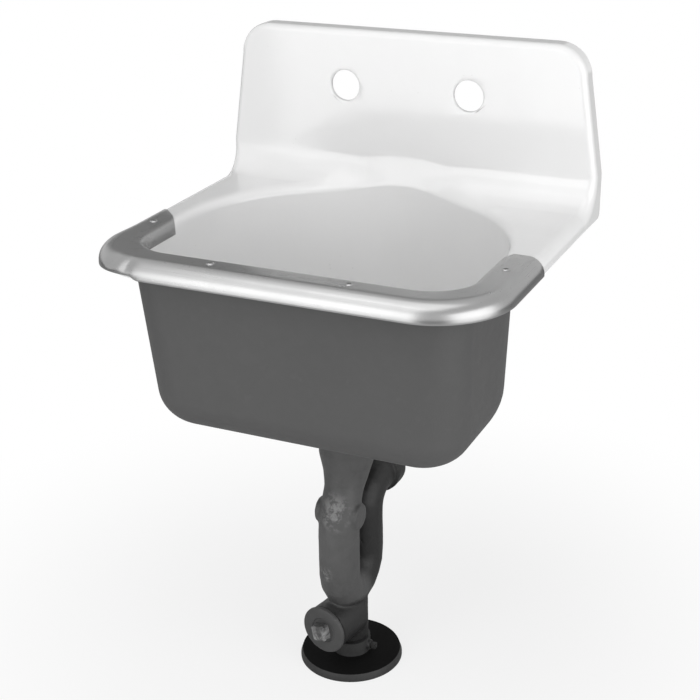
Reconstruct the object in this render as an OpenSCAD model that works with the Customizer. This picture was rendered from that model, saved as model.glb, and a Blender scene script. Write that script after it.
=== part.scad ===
// Wall-hung mop service sink with a half-round bowl, a rim guard and a cast trap standard.
// Lengths in millimetres. X runs left to right as one faces the sink, Y runs back into the
// wall and Z runs up. The origin is the middle of the hanger screw pattern on the wall's face.
// The modules below are drawn from the rim: their zero height is the top of the deck.

/* [Deck and back] */
// Width over the rolled rim of the iron casting
deck_w = 606; // [560:1:660]
// From the wall to the front edge of the iron casting
deck_reach = 495; // [485:1:540]
// Plan radius of the two front corners of the rim
deck_corner_r = 110; // [95:1:130]
// Width of the deck and its rolled edge beside the mouth
side_rim_w = 41; // [39:0.5:44]
// Width of the deck and its rolled edge in front of the mouth
front_rim_w = 45; // [42:0.5:47]
// Height of the splash back over the deck
back_h = 237; // [210:1:300]
// How much wider the splash back is over its cove than the deck
back_flare = 2; // [0:1:10]
// How much narrower the splash back is at its top than over its cove
back_taper = 58; // [20:1:80]
// Radius of the top corners of the splash back
back_corner_r = 50; // [30:1:70]
// From the wall to the front face of the splash back
back_depth = 30; // [27:1:40]
// Radius of the cove between the deck and the splash back
cove_r = 45; // [35:1:55]
// Thickness of the cast iron
iron_t = 8; // [6:0.5:9]
// Radius of the rolled edge of the deck
rim_roll_r = 22; // [18:0.5:23]
// Radius of the rolled edge of the splash back
back_roll_r = 10; // [9.5:0.5:14]
// Drop of the rim's lip below the deck
lip_h = 23; // [23:1:32]

/* [Bowl] */
// Width of the rounded edge from the mouth to the bowl's side wall
side_edge_w = 16; // [14:0.5:20]
// Width of the rounded edge from the mouth to the bowl's front wall
front_edge_w = 9; // [8:0.5:14]
// Draft of a side wall from the rim to the floor
side_draft = 13; // [8:0.5:18]
// Draft of the front wall from the rim to the floor
front_draft = 10; // [6:0.5:14]
// From the wall to the bowl's half-round back at the rim
bowl_back_reach = 36; // [34:0.5:40]
// How far the mouth's half-round back is set in past the wall's face
mouth_back_in = 4; // [2:0.5:6]
// From the wall to the drain
drain_reach = 260; // [256:1:266]
// Radius of the bowl's front corners at the rim, inside
bowl_corner_r = 55; // [50:1:60]
// Thickness of the front wall at the rim
front_wall_t = 17; // [14:0.5:20]
// Thickness of the front wall at the floor
front_low_wall_t = 12; // [8:0.5:14]
// Radius of the bowl's front corners at the rim, outside
apron_corner_r = 54; // [50:1:60]
// Radius of the bowl's front corners at its floor
floor_corner_r = 71; // [60:1:80]
// Depth of the bowl inside
bowl_h = 270; // [230:1:300]
// Radius between the bowl's walls and its floor, inside
bowl_floor_r = 44; // [35:1:50]
// Fall of the bowl's floor towards the drain
floor_fall = 4; // [2:0.5:6]
// Radius of the mouth's front corners
mouth_corner_r = 82; // [78:1:88]
// Drop of the rounded edge of the mouth
mouth_drop = 14; // [10:1:18]

/* [Faucet holes] */
// Spacing of the two faucet holes
faucet_spacing = 203.2; // [190:0.1:216]
// Height of the faucet holes over the deck
faucet_h = 150; // [120:1:165]
// Radius of a faucet hole
faucet_r = 24; // [20:0.5:26]

/* [Rim guard] */
// Thickness of the guard's sheet
guard_t = 1.5; // [1:0.1:2]
// Clearance between the guard and the enamelled rim
guard_gap = 0.3; // [0.2:0.05:0.5]
// From the mouth's half-round to the ends of the guard's side arms
guard_arm_gap = 12; // [8:1:20]
// How much further forward the inner edge of the left arm ends
guard_slant = 30; // [0:1:40]
// How much further forward the guard's inner leg ends
guard_cut = 20; // [16:1:30]
// Depth of the guard's leg inside the mouth
guard_leg_h = 20; // [16:1:26]
// How far the guard reaches below the iron lip
guard_overhang = 2; // [1:0.5:4]
// Radius of a guard screw's head
guard_screw_head_r = 4.2; // [3.5:0.1:5]
// Radius of a guard screw's shank
guard_screw_r = 2; // [1.5:0.1:2.4]
// Spacing of the two front guard screws
front_screw_spacing = 206; // [160:1:240]
// From the end of a side arm to its screw
side_screw_gap = 64; // [50:1:76]

/* [Wall hanger] */
// From the splash back's edge to the middle of a hanger bracket, which puts them one stud bay apart
hanger_inset = 100.8; // [92:0.1:110]
// Height of the hanger screw pattern's middle over the deck
hanger_h = 160; // [140:1:170]
// Width of a hanger bracket
hanger_w = 64; // [54:1:70]
// Height of a hanger bracket's plate
hanger_plate_h = 96; // [92:1:104]
// Thickness of a hanger bracket
hanger_t = 4; // [3:0.5:5]
// Upright spacing of the two screw holes in a bracket
hanger_hole_spacing = 34; // [28:1:36]
// Radius of a hanger screw hole
hanger_hole_r = 4.5; // [3.5:0.1:5.5]
// Height of the hanger's upturned hook
hook_h = 18; // [14:1:20]
// Width of a lug on the back of the casting
lug_w = 46; // [40:1:50]

/* [Drain] */
// Radius of the drain opening
drain_r = 38; // [34:1:40]
// Radius of the strainer plate
strainer_r = 60; // [59:0.5:62]
// Thickness of the strainer plate
strainer_t = 3; // [2:0.5:4]
// Radius of a hole in the strainer
strainer_hole_r = 3.2; // [2.6:0.1:3.6]
// Radius of the circle of strainer screws
strainer_screw_pitch_r = 53; // [52:0.5:55]
// Radius of a strainer screw's shank
strainer_screw_r = 3; // [2.5:0.1:3.5]
// Number of strainer screws
strainer_screws_n = 3; // [3:1:4]
// Thickness of the seal under the strainer
strainer_seal_t = 1.5; // [1:0.5:2]
// Thickness of the gasket between the bowl and the trap
gasket_t = 3; // [2:0.5:5]

/* [Trap] */
// Height of the rim over the floor
rim_h = 724; // [715:1:750]
// Radius of the trap's flange under the bowl
trap_flange_r = 66; // [64:1:70]
// Thickness of the trap's flange
trap_flange_t = 11; // [9:0.5:14]
// Radius of the trap's inlet below its flange
inlet_r = 44; // [42:0.5:44.5]
// Radius of the trap's legs
leg_r = 32; // [30:0.5:34]
// Radius of the column under the trap's bend
column_r = 28; // [27:0.5:30]
// Thickness of the trap's wall
trap_wall_t = 7; // [5:0.5:8]
// Spacing of the trap's two legs
leg_spacing = 89; // [84:1:96]
// From the drain's line to the front leg
front_leg_offset = 37; // [32:1:40]
// Length of the straight inlet under the trap's flange
inlet_l = 47; // [40:1:52]
// Height over which the inlet runs across to the front leg
offset_drop = 137; // [126:1:142]
// Height of the bend's centre over the floor
bend_h = 172; // [166:1:180]
// Height of the outlet's centre over the floor
outlet_h = 280; // [270:1:292]
// From the rear leg to the mouth of the outlet
outlet_l = 89; // [84:1:104]
// Radius of the outlet's hub
outlet_hub_r = 38; // [37:0.5:40]
// Radius of the tapped hole in the outlet, for 2 inch pipe
outlet_bore_r = 29.5; // [28:0.5:31]
// Depth of the tapped hole in the outlet
outlet_bore_l = 24; // [20:1:28]
// Height of the two side bosses over the floor
side_boss_h = 276; // [268:1:284]
// Radius of a side boss
side_boss_r = 20; // [17:0.5:22]
// How far a side boss stands out from the front leg
side_boss_proud = 4; // [2:0.5:6]

/* [Cleanout] */
// Height of the cleanout's centre over the floor
cleanout_h = 82; // [78:1:88]
// From the standard's centre line to the face of the cleanout's hub
cleanout_reach = 65; // [62:1:70]
// Angle by which the cleanout faces left of the front
cleanout_angle = 12; // [0:1:20]
// Radius of the cleanout's hub
cleanout_hub_r = 36.5; // [35.5:0.5:38]
// Radius of the plug's disc
plug_disc_r = 38.5; // [36:0.5:40]
// Thickness of the plug's disc
plug_disc_t = 6; // [4:0.5:8]
// Radius of the plug's shank
plug_shank_r = 29.5; // [28:0.5:31]
// Length of the plug's shank
plug_shank_l = 20; // [16:1:24]
// Side of the plug's square head
plug_head_w = 25; // [20:1:28]
// Height of the plug's square head
plug_head_h = 13; // [10:1:16]
// Thickness of the plug's washer
plug_washer_t = 2; // [1.5:0.5:3]

/* [Floor flange] */
// Radius of the floor flange
foot_r = 82; // [76:1:90]
// Thickness of the floor flange's plate
foot_t = 12; // [9:0.5:16]
// Radius of the floor flange's collar
collar_r = 31; // [30:0.5:35]
// Height of the collar's top over the floor
collar_h = 35.5; // [32:0.5:40]
// Radius of the trap's spigot inside the collar
spigot_r = 24.95; // [23.5:0.05:25.5]
// Length of the trap's spigot
spigot_l = 28; // [24:1:30]
// Gap between the trap's shoulder and the collar
foot_gap = 1.5; // [0.5:0.5:4]
// Radius of the collar's set screw
set_screw_r = 4; // [3:0.5:5]

/* [Hidden] */

// Overrun of a cut past the face that it opens
cut = 1;
// Running clearance of a shaft in its hole, on the radius
run_gap = 0.05;
// Clearance of a screw in a drilled hole, on the radius
screw_gap = 0.2;
// Degrees in one radian
radian = 180 / PI;

// Steps round the casting: straight side, corner and front of the bowl
side_n = 3;
corner_n = 6;
front_n = 6;
// Steps round half of its back: beside the deck, up the cove, then the edge, corner and top
deck_n = 8;
cove_n = 6;
edge_n = 3;
top_corner_n = 5;
top_n = 2;
flat_n = edge_n + top_corner_n + top_n;
half_n = deck_n + cove_n + flat_n;
back_n = 2 * half_n;
around_n = back_n + 2 * side_n + 2 * corner_n + front_n;

// Developed length of the deck, cove and back, measured along the skin from the wall's line
cove_start = -(back_depth + cove_r);
cove_end = cove_start + cove_r * 90 / radian;
back_top = cove_end + back_h - cove_r;
deck_half = deck_w / 2;
back_low_half = (deck_w + back_flare) / 2;
hanger_spacing = 2 * (back_low_half - hanger_inset);
back_top_half = back_low_half - back_taper / 2;
mouth_half = deck_half - side_rim_w;
mouth_reach = deck_reach - front_rim_w;
mouth_centre_reach = mouth_half - mouth_back_in;
bowl_half = mouth_half - side_edge_w;
bowl_floor_half = bowl_half - side_draft;
bowl_reach = mouth_reach - front_edge_w;
bowl_floor_reach = bowl_reach - front_draft;
bowl_centre_reach = bowl_half + bowl_back_reach;
guard_end_reach = mouth_centre_reach + guard_arm_gap;
bowl_total_h = bowl_h + iron_t;

function clamp(v, low, high) = max(low, min(high, v));
function mix(a, b, share) = a + (b - a) * share;

// Angle of the skin along the developed length: 0 on the deck, 90 on the back
function lean(s) = clamp((s - cove_start) / cove_r * radian, 0, 90);
// Upward normal and backward tangent of the skin
function up_at(s) = [0, -sin(lean(s)), cos(lean(s))];
function back_at(s) = [0, cos(lean(s)), sin(lean(s))];
// Place in space of a point of the developed skin
function skin_place(p) =
    p[1] < cove_start ? [p[0], p[1], 0]
    : p[1] < cove_end ? [p[0], cove_start + cove_r * sin(lean(p[1])), cove_r * (1 - cos(lean(p[1])))]
    : [p[0], -back_depth, cove_r + p[1] - cove_end];
// Developed length of the skin over a plan distance, for a cove of the given radius
function unrolled(y, r) =
    y <= cove_start ? y
    : y <= cove_start + r ? cove_start + cove_r / radian * asin((y - cove_start) / r)
    : cove_end + y - cove_start - r;

// Angles round the mouth's back at which its edge meets the cove and then the splash back
cove_angle = asin((mouth_centre_reach + cove_start) / mouth_half);
flat_angle = asin((mouth_centre_reach - back_depth) / mouth_half);
function half_angle(i) =
    i <= deck_n ? cove_angle * i / deck_n
    : i <= deck_n + cove_n ? mix(cove_angle, flat_angle, (i - deck_n) / cove_n)
    : mix(flat_angle, 90, (i - deck_n - cove_n) / flat_n);
function back_angle(i) = i <= half_n ? half_angle(i) : 180 - half_angle(back_n - i);

// Places along a straight side: the half-round's end, the guard's end and on to the corner
function side_y(i, centre, end, reach, r) =
    i == 0 ? -centre : mix(-end, -(reach - r), (i - 1) / (side_n - 1));
// Front of an outline: straight sides, round corners and a straight front
function front_outline(half, centre, end, reach, r) = concat(
    [for (i = [0:side_n - 1]) [-half, side_y(i, centre, end, reach, r)]],
    [for (i = [0:corner_n - 1]) let (a = 180 + 90 * i / corner_n)
        [-(half - r) + r * cos(a), -(reach - r) + r * sin(a)]],
    [for (i = [0:front_n - 1]) [mix(-(half - r), half - r, i / front_n), -reach]],
    [for (i = [0:corner_n - 1]) let (a = 270 + 90 * i / corner_n)
        [half - r + r * cos(a), -(reach - r) + r * sin(a)]],
    [for (i = [0:side_n - 1]) [half, side_y(side_n - i, centre, end, reach, r)]]);
// Plan outline of the bowl: a half-round back and that front
function bowl_outline(half, centre, end, reach, r) = concat(
    [for (i = [0:back_n - 1]) let (a = back_angle(i)) [half * cos(a), half * sin(a) - centre]],
    front_outline(half, centre, end, reach, r));
// Right edge of the developed casting from the drain's line to the top corner
edge_stop = back_top - back_corner_r;
function edge_x(s) = s < cove_end
    ? mix(deck_half, back_low_half, clamp((s - cove_start) / (cove_end - cove_start), 0, 1))
    : mix(back_low_half, back_top_half, (s - cove_end) / (back_top - cove_end));
// Each step up the edge lies level with the mouth's edge, so that the rows follow the cove
function mouth_s(i) = unrolled(mouth_half * sin(half_angle(i)) - mouth_centre_reach, cove_r);
function right_edge_s(i) = i <= deck_n + cove_n ? mouth_s(i)
    : mix(mouth_s(deck_n + cove_n), edge_stop, (i - deck_n - cove_n) / edge_n);
right_edge = [for (i = [0:deck_n + cove_n + edge_n - 1]) let (s = right_edge_s(i)) [edge_x(s), s]];
// Round top corner, tangent to the sloping edge and to the top
corner_x = edge_x(edge_stop) - back_corner_r;
top_corner = [for (i = [0:top_corner_n]) let (a = 90 * i / top_corner_n)
    [corner_x + back_corner_r * cos(a), edge_stop + back_corner_r * sin(a)]];
back_half = concat(right_edge, top_corner);
function flipped(points) = [for (i = [len(points) - 1:-1:0]) [-points[i][0], points[i][1]]];
top_line = [for (i = [1:2 * top_n - 1]) [mix(corner_x, -corner_x, i / (2 * top_n)), back_top]];
// Outline of the whole developed casting, in step with the bowl's outline
rim_outline = concat(back_half, top_line, flipped(top_corner),
    [for (i = [len(right_edge) - 1:-1:1]) [-right_edge[i][0], right_edge[i][1]]],
    front_outline(deck_half, mouth_centre_reach, guard_end_reach, deck_reach, deck_corner_r));
// Outward normals of the developed outline, square to the chord of the two neighbours
rim_normals = [for (i = [0:around_n - 1]) let (
    d = rim_outline[(i + 1) % around_n] - rim_outline[(i + around_n - 1) % around_n])
    [d[1], -d[0]] / norm(d)];

// Share of the way from the deck to the back, which sets the size of the rolled edge
function back_share(s) = clamp((s - cove_start) / (cove_end - cove_start), 0, 1);
function roll_r(i) = mix(rim_roll_r, back_roll_r, back_share(rim_outline[i][1]));
// Start of the rolled edge on the developed skin
function roll_start(i) = rim_outline[i] - roll_r(i) * rim_normals[i];
// Direction of the rolled edge in space
function roll_out(i) =
    rim_normals[i][0] * [1, 0, 0] + rim_normals[i][1] * back_at(roll_start(i)[1]);
// Drop of the lip under the skin, down to the lip's line or back to the wall
function lip_drop(i) = let (s = roll_start(i)[1], p = skin_place(roll_start(i)), a = lean(s))
    a == 0 ? lip_h : a == 90 ? back_depth : min((p[2] + lip_h) / cos(a), -p[1] / sin(a));
// Point of the rolled edge's section: angle round the roll, then depth below the skin
function roll_point(i, r, depth, out) =
    skin_place(roll_start(i)) + out * roll_out(i) - depth * up_at(roll_start(i)[1]);

// Sizes of the bowl's two faces: half width and reach at the rim and at the floor, then the
// corner's radius at the rim
inner_face = [bowl_half, bowl_floor_half, bowl_reach, bowl_floor_reach, bowl_corner_r];
outer_face = [bowl_half + iron_t, bowl_floor_half + iron_t, bowl_reach + front_wall_t,
    bowl_floor_reach + front_low_wall_t, apron_corner_r];
// A face of the bowl at a share of its depth
function bowl_ring(face, share, inset, z) = let (
    half = mix(face[0], face[1], share) - inset,
    reach = mix(face[2], face[3], share) - inset,
    corner = max(mix(face[4], floor_corner_r, share) - inset, iron_t),
    outline = bowl_outline(half, bowl_centre_reach, guard_end_reach + guard_cut, reach, corner))
    [for (p = outline) [p[0], p[1], z]];
bowl_top = bowl_ring(inner_face, 0, 0, 0);
mouth_outline = bowl_outline(mouth_half, mouth_centre_reach, guard_end_reach, mouth_reach, mouth_corner_r);
// Developed places of the bowl's wall and of the flat's edge above it
wall_line = [for (p = bowl_top) [p[0], unrolled(p[1], cove_r)]];
mouth_line = [for (p = mouth_outline) [p[0], unrolled(p[1], cove_r)]];
// Rounded edge of the mouth, a quadratic curve from the wall to the flat
function mouth_point(i, share) = let (
    top = skin_place(wall_line[i]), low = top - [0, 0, mouth_drop], flat = skin_place(mouth_line[i]))
    (1 - share) * (1 - share) * low + 2 * share * (1 - share) * top + share * share * flat;

// Steps along the section of the casting
roll_n = 5;
mouth_n = 4;
skin_n = 4;
under_n = 3;
floor_n = 5;
floor_share = (bowl_h - bowl_floor_r) / bowl_h;
drain_core_r = drain_r / 2;
function drain_ring(z) = [for (i = [0:around_n - 1]) let (
    c = [0, -drain_reach], d = bowl_top[i] - [0, -drain_reach, 0], f = norm([d[0], d[1]]))
    [drain_core_r * d[0] / f, drain_core_r * d[1] / f - drain_reach, z]];
function skin_point(i, share, t) = let (p = mix(mouth_line[i], roll_start(i), share))
    skin_place(p) - t * up_at(p[1]);
// Outer wall of the bowl under the deck, on the developed skin
apron_top = bowl_ring(outer_face, 0, 0, 0);
apron_line = [for (p = apron_top) [p[0], unrolled(p[1], cove_r + iron_t)]];
function under_point(i, share) = let (p = mix(roll_start(i), apron_line[i], share))
    skin_place(p) - iron_t * up_at(p[1]);

casting_rings = concat(
    [drain_ring(-bowl_h - floor_fall)],
    [for (k = [floor_n:-1:0]) let (a = 90 * k / floor_n)
        bowl_ring(inner_face, mix(floor_share, 1, sin(a)), bowl_floor_r * (1 - cos(a)),
            -bowl_h + bowl_floor_r * (1 - sin(a)))],
    [for (k = [0:mouth_n]) [for (i = [0:around_n - 1]) mouth_point(i, k / mouth_n)]],
    [for (k = [1:skin_n]) [for (i = [0:around_n - 1]) skin_point(i, k / skin_n, 0)]],
    [for (k = [1:roll_n]) let (a = 90 * k / roll_n) [for (i = [0:around_n - 1]) let (r = roll_r(i))
        roll_point(i, r, r * (1 - cos(a)), r * sin(a))]],
    [[for (i = [0:around_n - 1]) roll_point(i, 0, lip_drop(i), roll_r(i))]],
    [[for (i = [0:around_n - 1]) roll_point(i, 0, lip_drop(i), roll_r(i) - iron_t)]],
    [for (k = [roll_n:-1:1]) let (a = 90 * k / roll_n) [for (i = [0:around_n - 1]) let (r = roll_r(i))
        roll_point(i, r, r - (r - iron_t) * cos(a), (r - iron_t) * sin(a))]],
    [for (k = [0:under_n]) [for (i = [0:around_n - 1]) under_point(i, k / under_n)]],
    [for (k = [0:floor_n]) let (a = 90 * k / floor_n, r = bowl_floor_r + iron_t)
        bowl_ring(outer_face, mix(floor_share, 1, sin(a)), r * (1 - cos(a)),
            -bowl_total_h + r * (1 - sin(a)))],
    [drain_ring(-bowl_total_h - floor_fall)]);

// Closed solid through rings of points: the last ring joins the first again
module ring_solid(rings) {
    m = len(rings);
    n = len(rings[0]);
    polyhedron(
        points = [for (r = rings) for (p = r) p],
        faces = [for (k = [0:m - 1]) for (i = [0:n - 1]) for (half = [0, 1]) let (
            a = k * n + i, b = k * n + (i + 1) % n,
            c = (k + 1) % m * n + (i + 1) % n, d = (k + 1) % m * n + i)
            half == 0 ? [a, b, c] : [a, c, d]]);
}

// Sides of a closed tube through rings of points
function tube_sides(m, n) = [for (k = [0:m - 2]) for (i = [0:n - 1]) for (half = [0, 1]) let (
    a = k * n + i, b = k * n + (i + 1) % n, c = b + n, d = a + n)
    half == 0 ? [a, b, c] : [a, c, d]];
// Closed tube with a flat cap at each end
module tube_solid(rings) {
    m = len(rings);
    n = len(rings[0]);
    polyhedron(
        points = [for (r = rings) for (p = r) p],
        faces = concat(tube_sides(m, n), [[for (i = [n - 1:-1:0]) i]],
            [[for (i = [0:n - 1]) (m - 1) * n + i]]));
}
// Closed sheet: each ring runs along one face and back along the other, so that the caps are
// narrow strips between the two
module sheet_solid(rings) {
    m = len(rings);
    n = len(rings[0]);
    last = (m - 1) * n;
    polyhedron(
        points = [for (r = rings) for (p = r) p],
        faces = concat(tube_sides(m, n),
            [for (k = [0:n / 2 - 2]) for (half = [0, 1]) let (a = n - 1 - k, b = a - 1)
                half == 0 ? [a, b, k + 1] : [a, k + 1, k]],
            [for (k = [0:n / 2 - 2]) for (half = [0, 1]) let (a = last + n - 1 - k, c = last + k)
                half == 0 ? [c, c + 1, a - 1] : [c, a - 1, a]]));
}

module from_rim() {
    translate([0, 0, -hanger_h]) children();
}

// The drain's levels under the rim
outlet_boss_h = 6;
outlet_boss_r = 68;
seat_h = strainer_t + strainer_seal_t;
// How far the strainer stands over the floor round it
strainer_proud = 1;
seat_z = strainer_proud - (bowl_h + floor_fall) - seat_h;
boss_z = -(bowl_total_h + outlet_boss_h);
flange_z = boss_z - gasket_t;
flange_under_z = flange_z - trap_flange_t;

module at_drain(z) {
    translate([0, -drain_reach, z]) children();
}

module strainer_places() {
    for (i = [0:strainer_screws_n - 1]) rotate([0, 0, 90 + 360 * i / strainer_screws_n])
        translate([strainer_screw_pitch_r, 0, 0]) children();
}

module guard_screw_places() {
    front_y = -(mouth_reach + deck_reach - rim_roll_r) / 2;
    side_x = (mouth_half + deck_half - rim_roll_r) / 2;
    side_y = -(guard_end_reach + side_screw_gap);
    for (side = [-1, 1]) {
        translate([side * front_screw_spacing / 2, front_y, 0]) children();
        translate([side * side_x, side_y, 0]) children();
    }
}

// The hanger's hook and the lug that hangs in it
hook_gap = 0.4;
lug_t = 9;
lug_h = 30;
hook_depth = 2 * hanger_t + lug_t + 2 * hook_gap;
// Distance of the upper screw hole from the hanger's top edge
hanger_hole_margin = 16;
hanger_hole_mid = hanger_plate_h - hanger_hole_margin - hanger_hole_spacing / 2;
ledge_z = hanger_h - hanger_hole_mid;

// Hooked lug behind the splash back, drawn in section
module lug(side) {
    back_y = -hanger_t - hook_gap;
    front_y = back_y - lug_t;
    skin_y = -back_depth + iron_t / 2;
    low_z = ledge_z + hanger_t;
    neck_z = low_z + hook_h + hook_gap;
    top_z = low_z + lug_h;
    translate([side * hanger_spacing / 2 - lug_w / 2, 0, 0]) rotate([90, 0, 90])
        linear_extrude(height = lug_w) polygon([[back_y, low_z], [front_y, low_z], [front_y, neck_z],
            [skin_y, neck_z], [skin_y, top_z], [back_y, top_z]]);
}

module basin_casting() {
    color("white") from_rim() difference() {
        union() {
            ring_solid(casting_rings);
            at_drain(boss_z) cylinder(r = outlet_boss_r, h = outlet_boss_h + iron_t / 4, $fn = 96);
            for (side = [-1, 1]) lug(side);
        }
        at_drain(boss_z - cut) cylinder(r = drain_r, h = bowl_h, $fn = 96);
        at_drain(seat_z) cylinder(r = strainer_r + screw_gap, h = bowl_floor_r, $fn = 96);
        at_drain(boss_z - cut) strainer_places()
            cylinder(r = strainer_screw_r + screw_gap, h = bowl_floor_r, $fn = 32);
        for (side = [-1, 1]) translate([side * faucet_spacing / 2, cut, faucet_h])
            rotate([90, 0, 0]) cylinder(r = faucet_r, h = back_depth + 2 * cut, $fn = 64);
        guard_screw_places() translate([0, 0, -iron_t - cut])
            cylinder(r = guard_screw_r + run_gap, h = iron_t + 2 * cut, $fn = 32);
    }
}

// Section of the guard at one step round the rim: leg, mouth edge, flat, roll and skirt, in
// the casting's own steps
guard_rows = [for (i = [back_n + 1:around_n - 1]) i];
guard_skirt_h = lip_h + guard_overhang;
function unit(v) = v / norm(v);
// The leg follows the bowl's wall down from the mouth's edge
wall_low = bowl_ring(inner_face, floor_share, 0, -bowl_h + bowl_floor_r);
guard_leg_share = (guard_leg_h - mouth_drop) / (bowl_h - bowl_floor_r - mouth_drop);
function guard_point(i, k, off) =
    k == 0 ? mix(mouth_point(i, 0), wall_low[i], guard_leg_share) + off * mouth_normal(i, 0)
    : k <= mouth_n + 1 ? mouth_point(i, (k - 1) / mouth_n) + off * mouth_normal(i, (k - 1) / mouth_n)
    : k <= mouth_n + 1 + skin_n
        ? skin_point(i, (k - mouth_n - 1) / skin_n, 0) + off * [0, 0, 1]
    : k <= mouth_n + 1 + skin_n + roll_n ? let (
        a = 90 * (k - mouth_n - 1 - skin_n) / roll_n, r = rim_roll_r + off)
        roll_point(i, r, rim_roll_r - r * cos(a), r * sin(a))
    : roll_point(i, 0, guard_skirt_h, rim_roll_r + off);
guard_cols_n = mouth_n + skin_n + roll_n + 3;
skin_end_k = mouth_n + skin_n + 1;
// Normal of the mouth's rounded edge, pointing up and into the bowl
function mouth_normal(i, share) = let (
    top = skin_place(wall_line[i]), low = top - [0, 0, mouth_drop], flat = skin_place(mouth_line[i]),
    d = (1 - share) * (top - low) + share * (flat - top),
    out = norm([d[0], d[1]]), side = unit(mouth_line[i] - wall_line[i]))
    unit([-side[0] * d[2], -side[1] * d[2], out]);

// The left arm ends on a slant, with its inner edge set forward
function guard_slant_y(i, k) =
    i > guard_rows[0] ? 0 : -guard_slant * pow(1 - min(k, skin_end_k) / skin_end_k, 2);
function guard_place(i, k, off) = guard_point(i, k, off) + [0, guard_slant_y(i, k), 0];

module rim_guard() {
    color("silver") from_rim() difference() {
        sheet_solid([for (i = guard_rows) concat(
            [for (k = [0:guard_cols_n - 1]) guard_place(i, k, guard_gap)],
            [for (k = [guard_cols_n - 1:-1:0]) guard_place(i, k, guard_gap + guard_t)])]);
        guard_screw_places() cylinder(r = guard_screw_r + run_gap, h = guard_gap + guard_t + cut, $fn = 32);
    }
}

// Share of a screw head's radius that is left at its top
head_top_share = 0.7;
module rim_guard_screws() {
    head_h = guard_screw_head_r / 2;
    head_z = guard_gap + guard_t;
    top_r = guard_screw_head_r * head_top_share;
    color("lightgrey") from_rim() guard_screw_places() {
        translate([0, 0, -iron_t])
            cylinder(r = guard_screw_r, h = iron_t + head_z + head_h / 2, $fn = 32);
        translate([0, 0, head_z]) difference() {
            cylinder(r1 = guard_screw_head_r, r2 = top_r, h = head_h, $fn = 32);
            translate([-guard_screw_head_r, -guard_screw_r / 4, head_h / 2])
                cube([2 * guard_screw_head_r, guard_screw_r / 2, head_h]);
        }
    }
}

module wall_hanger(side) {
    color("dimgrey") from_rim() translate([side * hanger_spacing / 2, 0, ledge_z]) difference() {
        translate([-hanger_w / 2, 0, 0]) rotate([90, 0, 90]) linear_extrude(height = hanger_w)
            polygon([[0, 0], [-hook_depth, 0], [-hook_depth, hanger_t + hook_h],
                [-hook_depth + hanger_t, hanger_t + hook_h], [-hook_depth + hanger_t, hanger_t],
                [-hanger_t, hanger_t], [-hanger_t, hanger_plate_h], [0, hanger_plate_h]]);
        for (end = [-1, 1]) translate([0, cut, hanger_hole_mid + end * hanger_hole_spacing / 2])
            rotate([90, 0, 0]) cylinder(r = hanger_hole_r, h = hanger_t + 2 * cut, $fn = 32);
    }
}

module wall_hanger_left() { wall_hanger(-1); }

module wall_hanger_right() { wall_hanger(1); }

module strainer_seal() {
    color("black") from_rim() at_drain(seat_z) difference() {
        cylinder(r = strainer_r, h = strainer_seal_t, $fn = 96);
        translate([0, 0, -cut]) cylinder(r = drain_r, h = strainer_seal_t + 2 * cut, $fn = 96);
        translate([0, 0, -cut]) strainer_places()
            cylinder(r = strainer_screw_r + screw_gap, h = strainer_seal_t + 2 * cut, $fn = 32);
    }
}

// Rings of holes in the strainer, with their counts
strainer_rings_n = [1, 6, 12, 18];
module strainer() {
    ring_step = (drain_r - strainer_hole_r) / len(strainer_rings_n);
    color("gold") from_rim() at_drain(seat_z + strainer_seal_t) difference() {
        cylinder(r = strainer_r, h = strainer_t, $fn = 96);
        for (ring = [0:len(strainer_rings_n) - 1]) for (i = [0:strainer_rings_n[ring] - 1])
            rotate([0, 0, 360 * i / strainer_rings_n[ring]]) translate([ring * ring_step, 0, -cut])
                cylinder(r = strainer_hole_r, h = strainer_t + 2 * cut, $fn = 24);
        translate([0, 0, -cut]) strainer_places()
            cylinder(r = strainer_screw_r + screw_gap, h = strainer_t + 2 * cut, $fn = 32);
    }
}

nut_h = 5;
nut_r = 6;
bolt_washer_t = 1.2;
bolt_washer_r = 7;
screw_head_r = 5.5;
screw_head_h = 3;
// How far the screws come out of their nuts
screw_proud = 1;
module strainer_screws() {
    top_z = seat_z + seat_h;
    low_z = flange_under_z - bolt_washer_t - nut_h - screw_proud;
    color("gold") from_rim() at_drain(0) strainer_places() {
        translate([0, 0, low_z])
            cylinder(r = strainer_screw_r, h = top_z - low_z + screw_head_h / 2, $fn = 32);
        translate([0, 0, top_z])
            cylinder(r1 = screw_head_r, r2 = screw_head_r * head_top_share, h = screw_head_h, $fn = 32);
    }
}

module trap_washers() {
    color("gold") from_rim() at_drain(flange_under_z - bolt_washer_t) strainer_places() difference() {
        cylinder(r = bolt_washer_r, h = bolt_washer_t, $fn = 32);
        translate([0, 0, -cut])
            cylinder(r = strainer_screw_r + run_gap, h = bolt_washer_t + 2 * cut, $fn = 32);
    }
}

module trap_nuts() {
    nut_z = flange_under_z - bolt_washer_t - nut_h;
    color("gold") from_rim() at_drain(nut_z) strainer_places() difference() {
        cylinder(r = nut_r, h = nut_h, $fn = 6);
        translate([0, 0, -cut]) cylinder(r = strainer_screw_r + run_gap, h = nut_h + 2 * cut, $fn = 32);
    }
}

module trap_gasket() {
    color("black") from_rim() at_drain(flange_z) difference() {
        cylinder(r = trap_flange_r, h = gasket_t, $fn = 96);
        translate([0, 0, -cut]) cylinder(r = drain_r, h = gasket_t + 2 * cut, $fn = 96);
        translate([0, 0, -cut]) strainer_places()
            cylinder(r = strainer_screw_r + screw_gap, h = gasket_t + 2 * cut, $fn = 32);
    }
}

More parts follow.
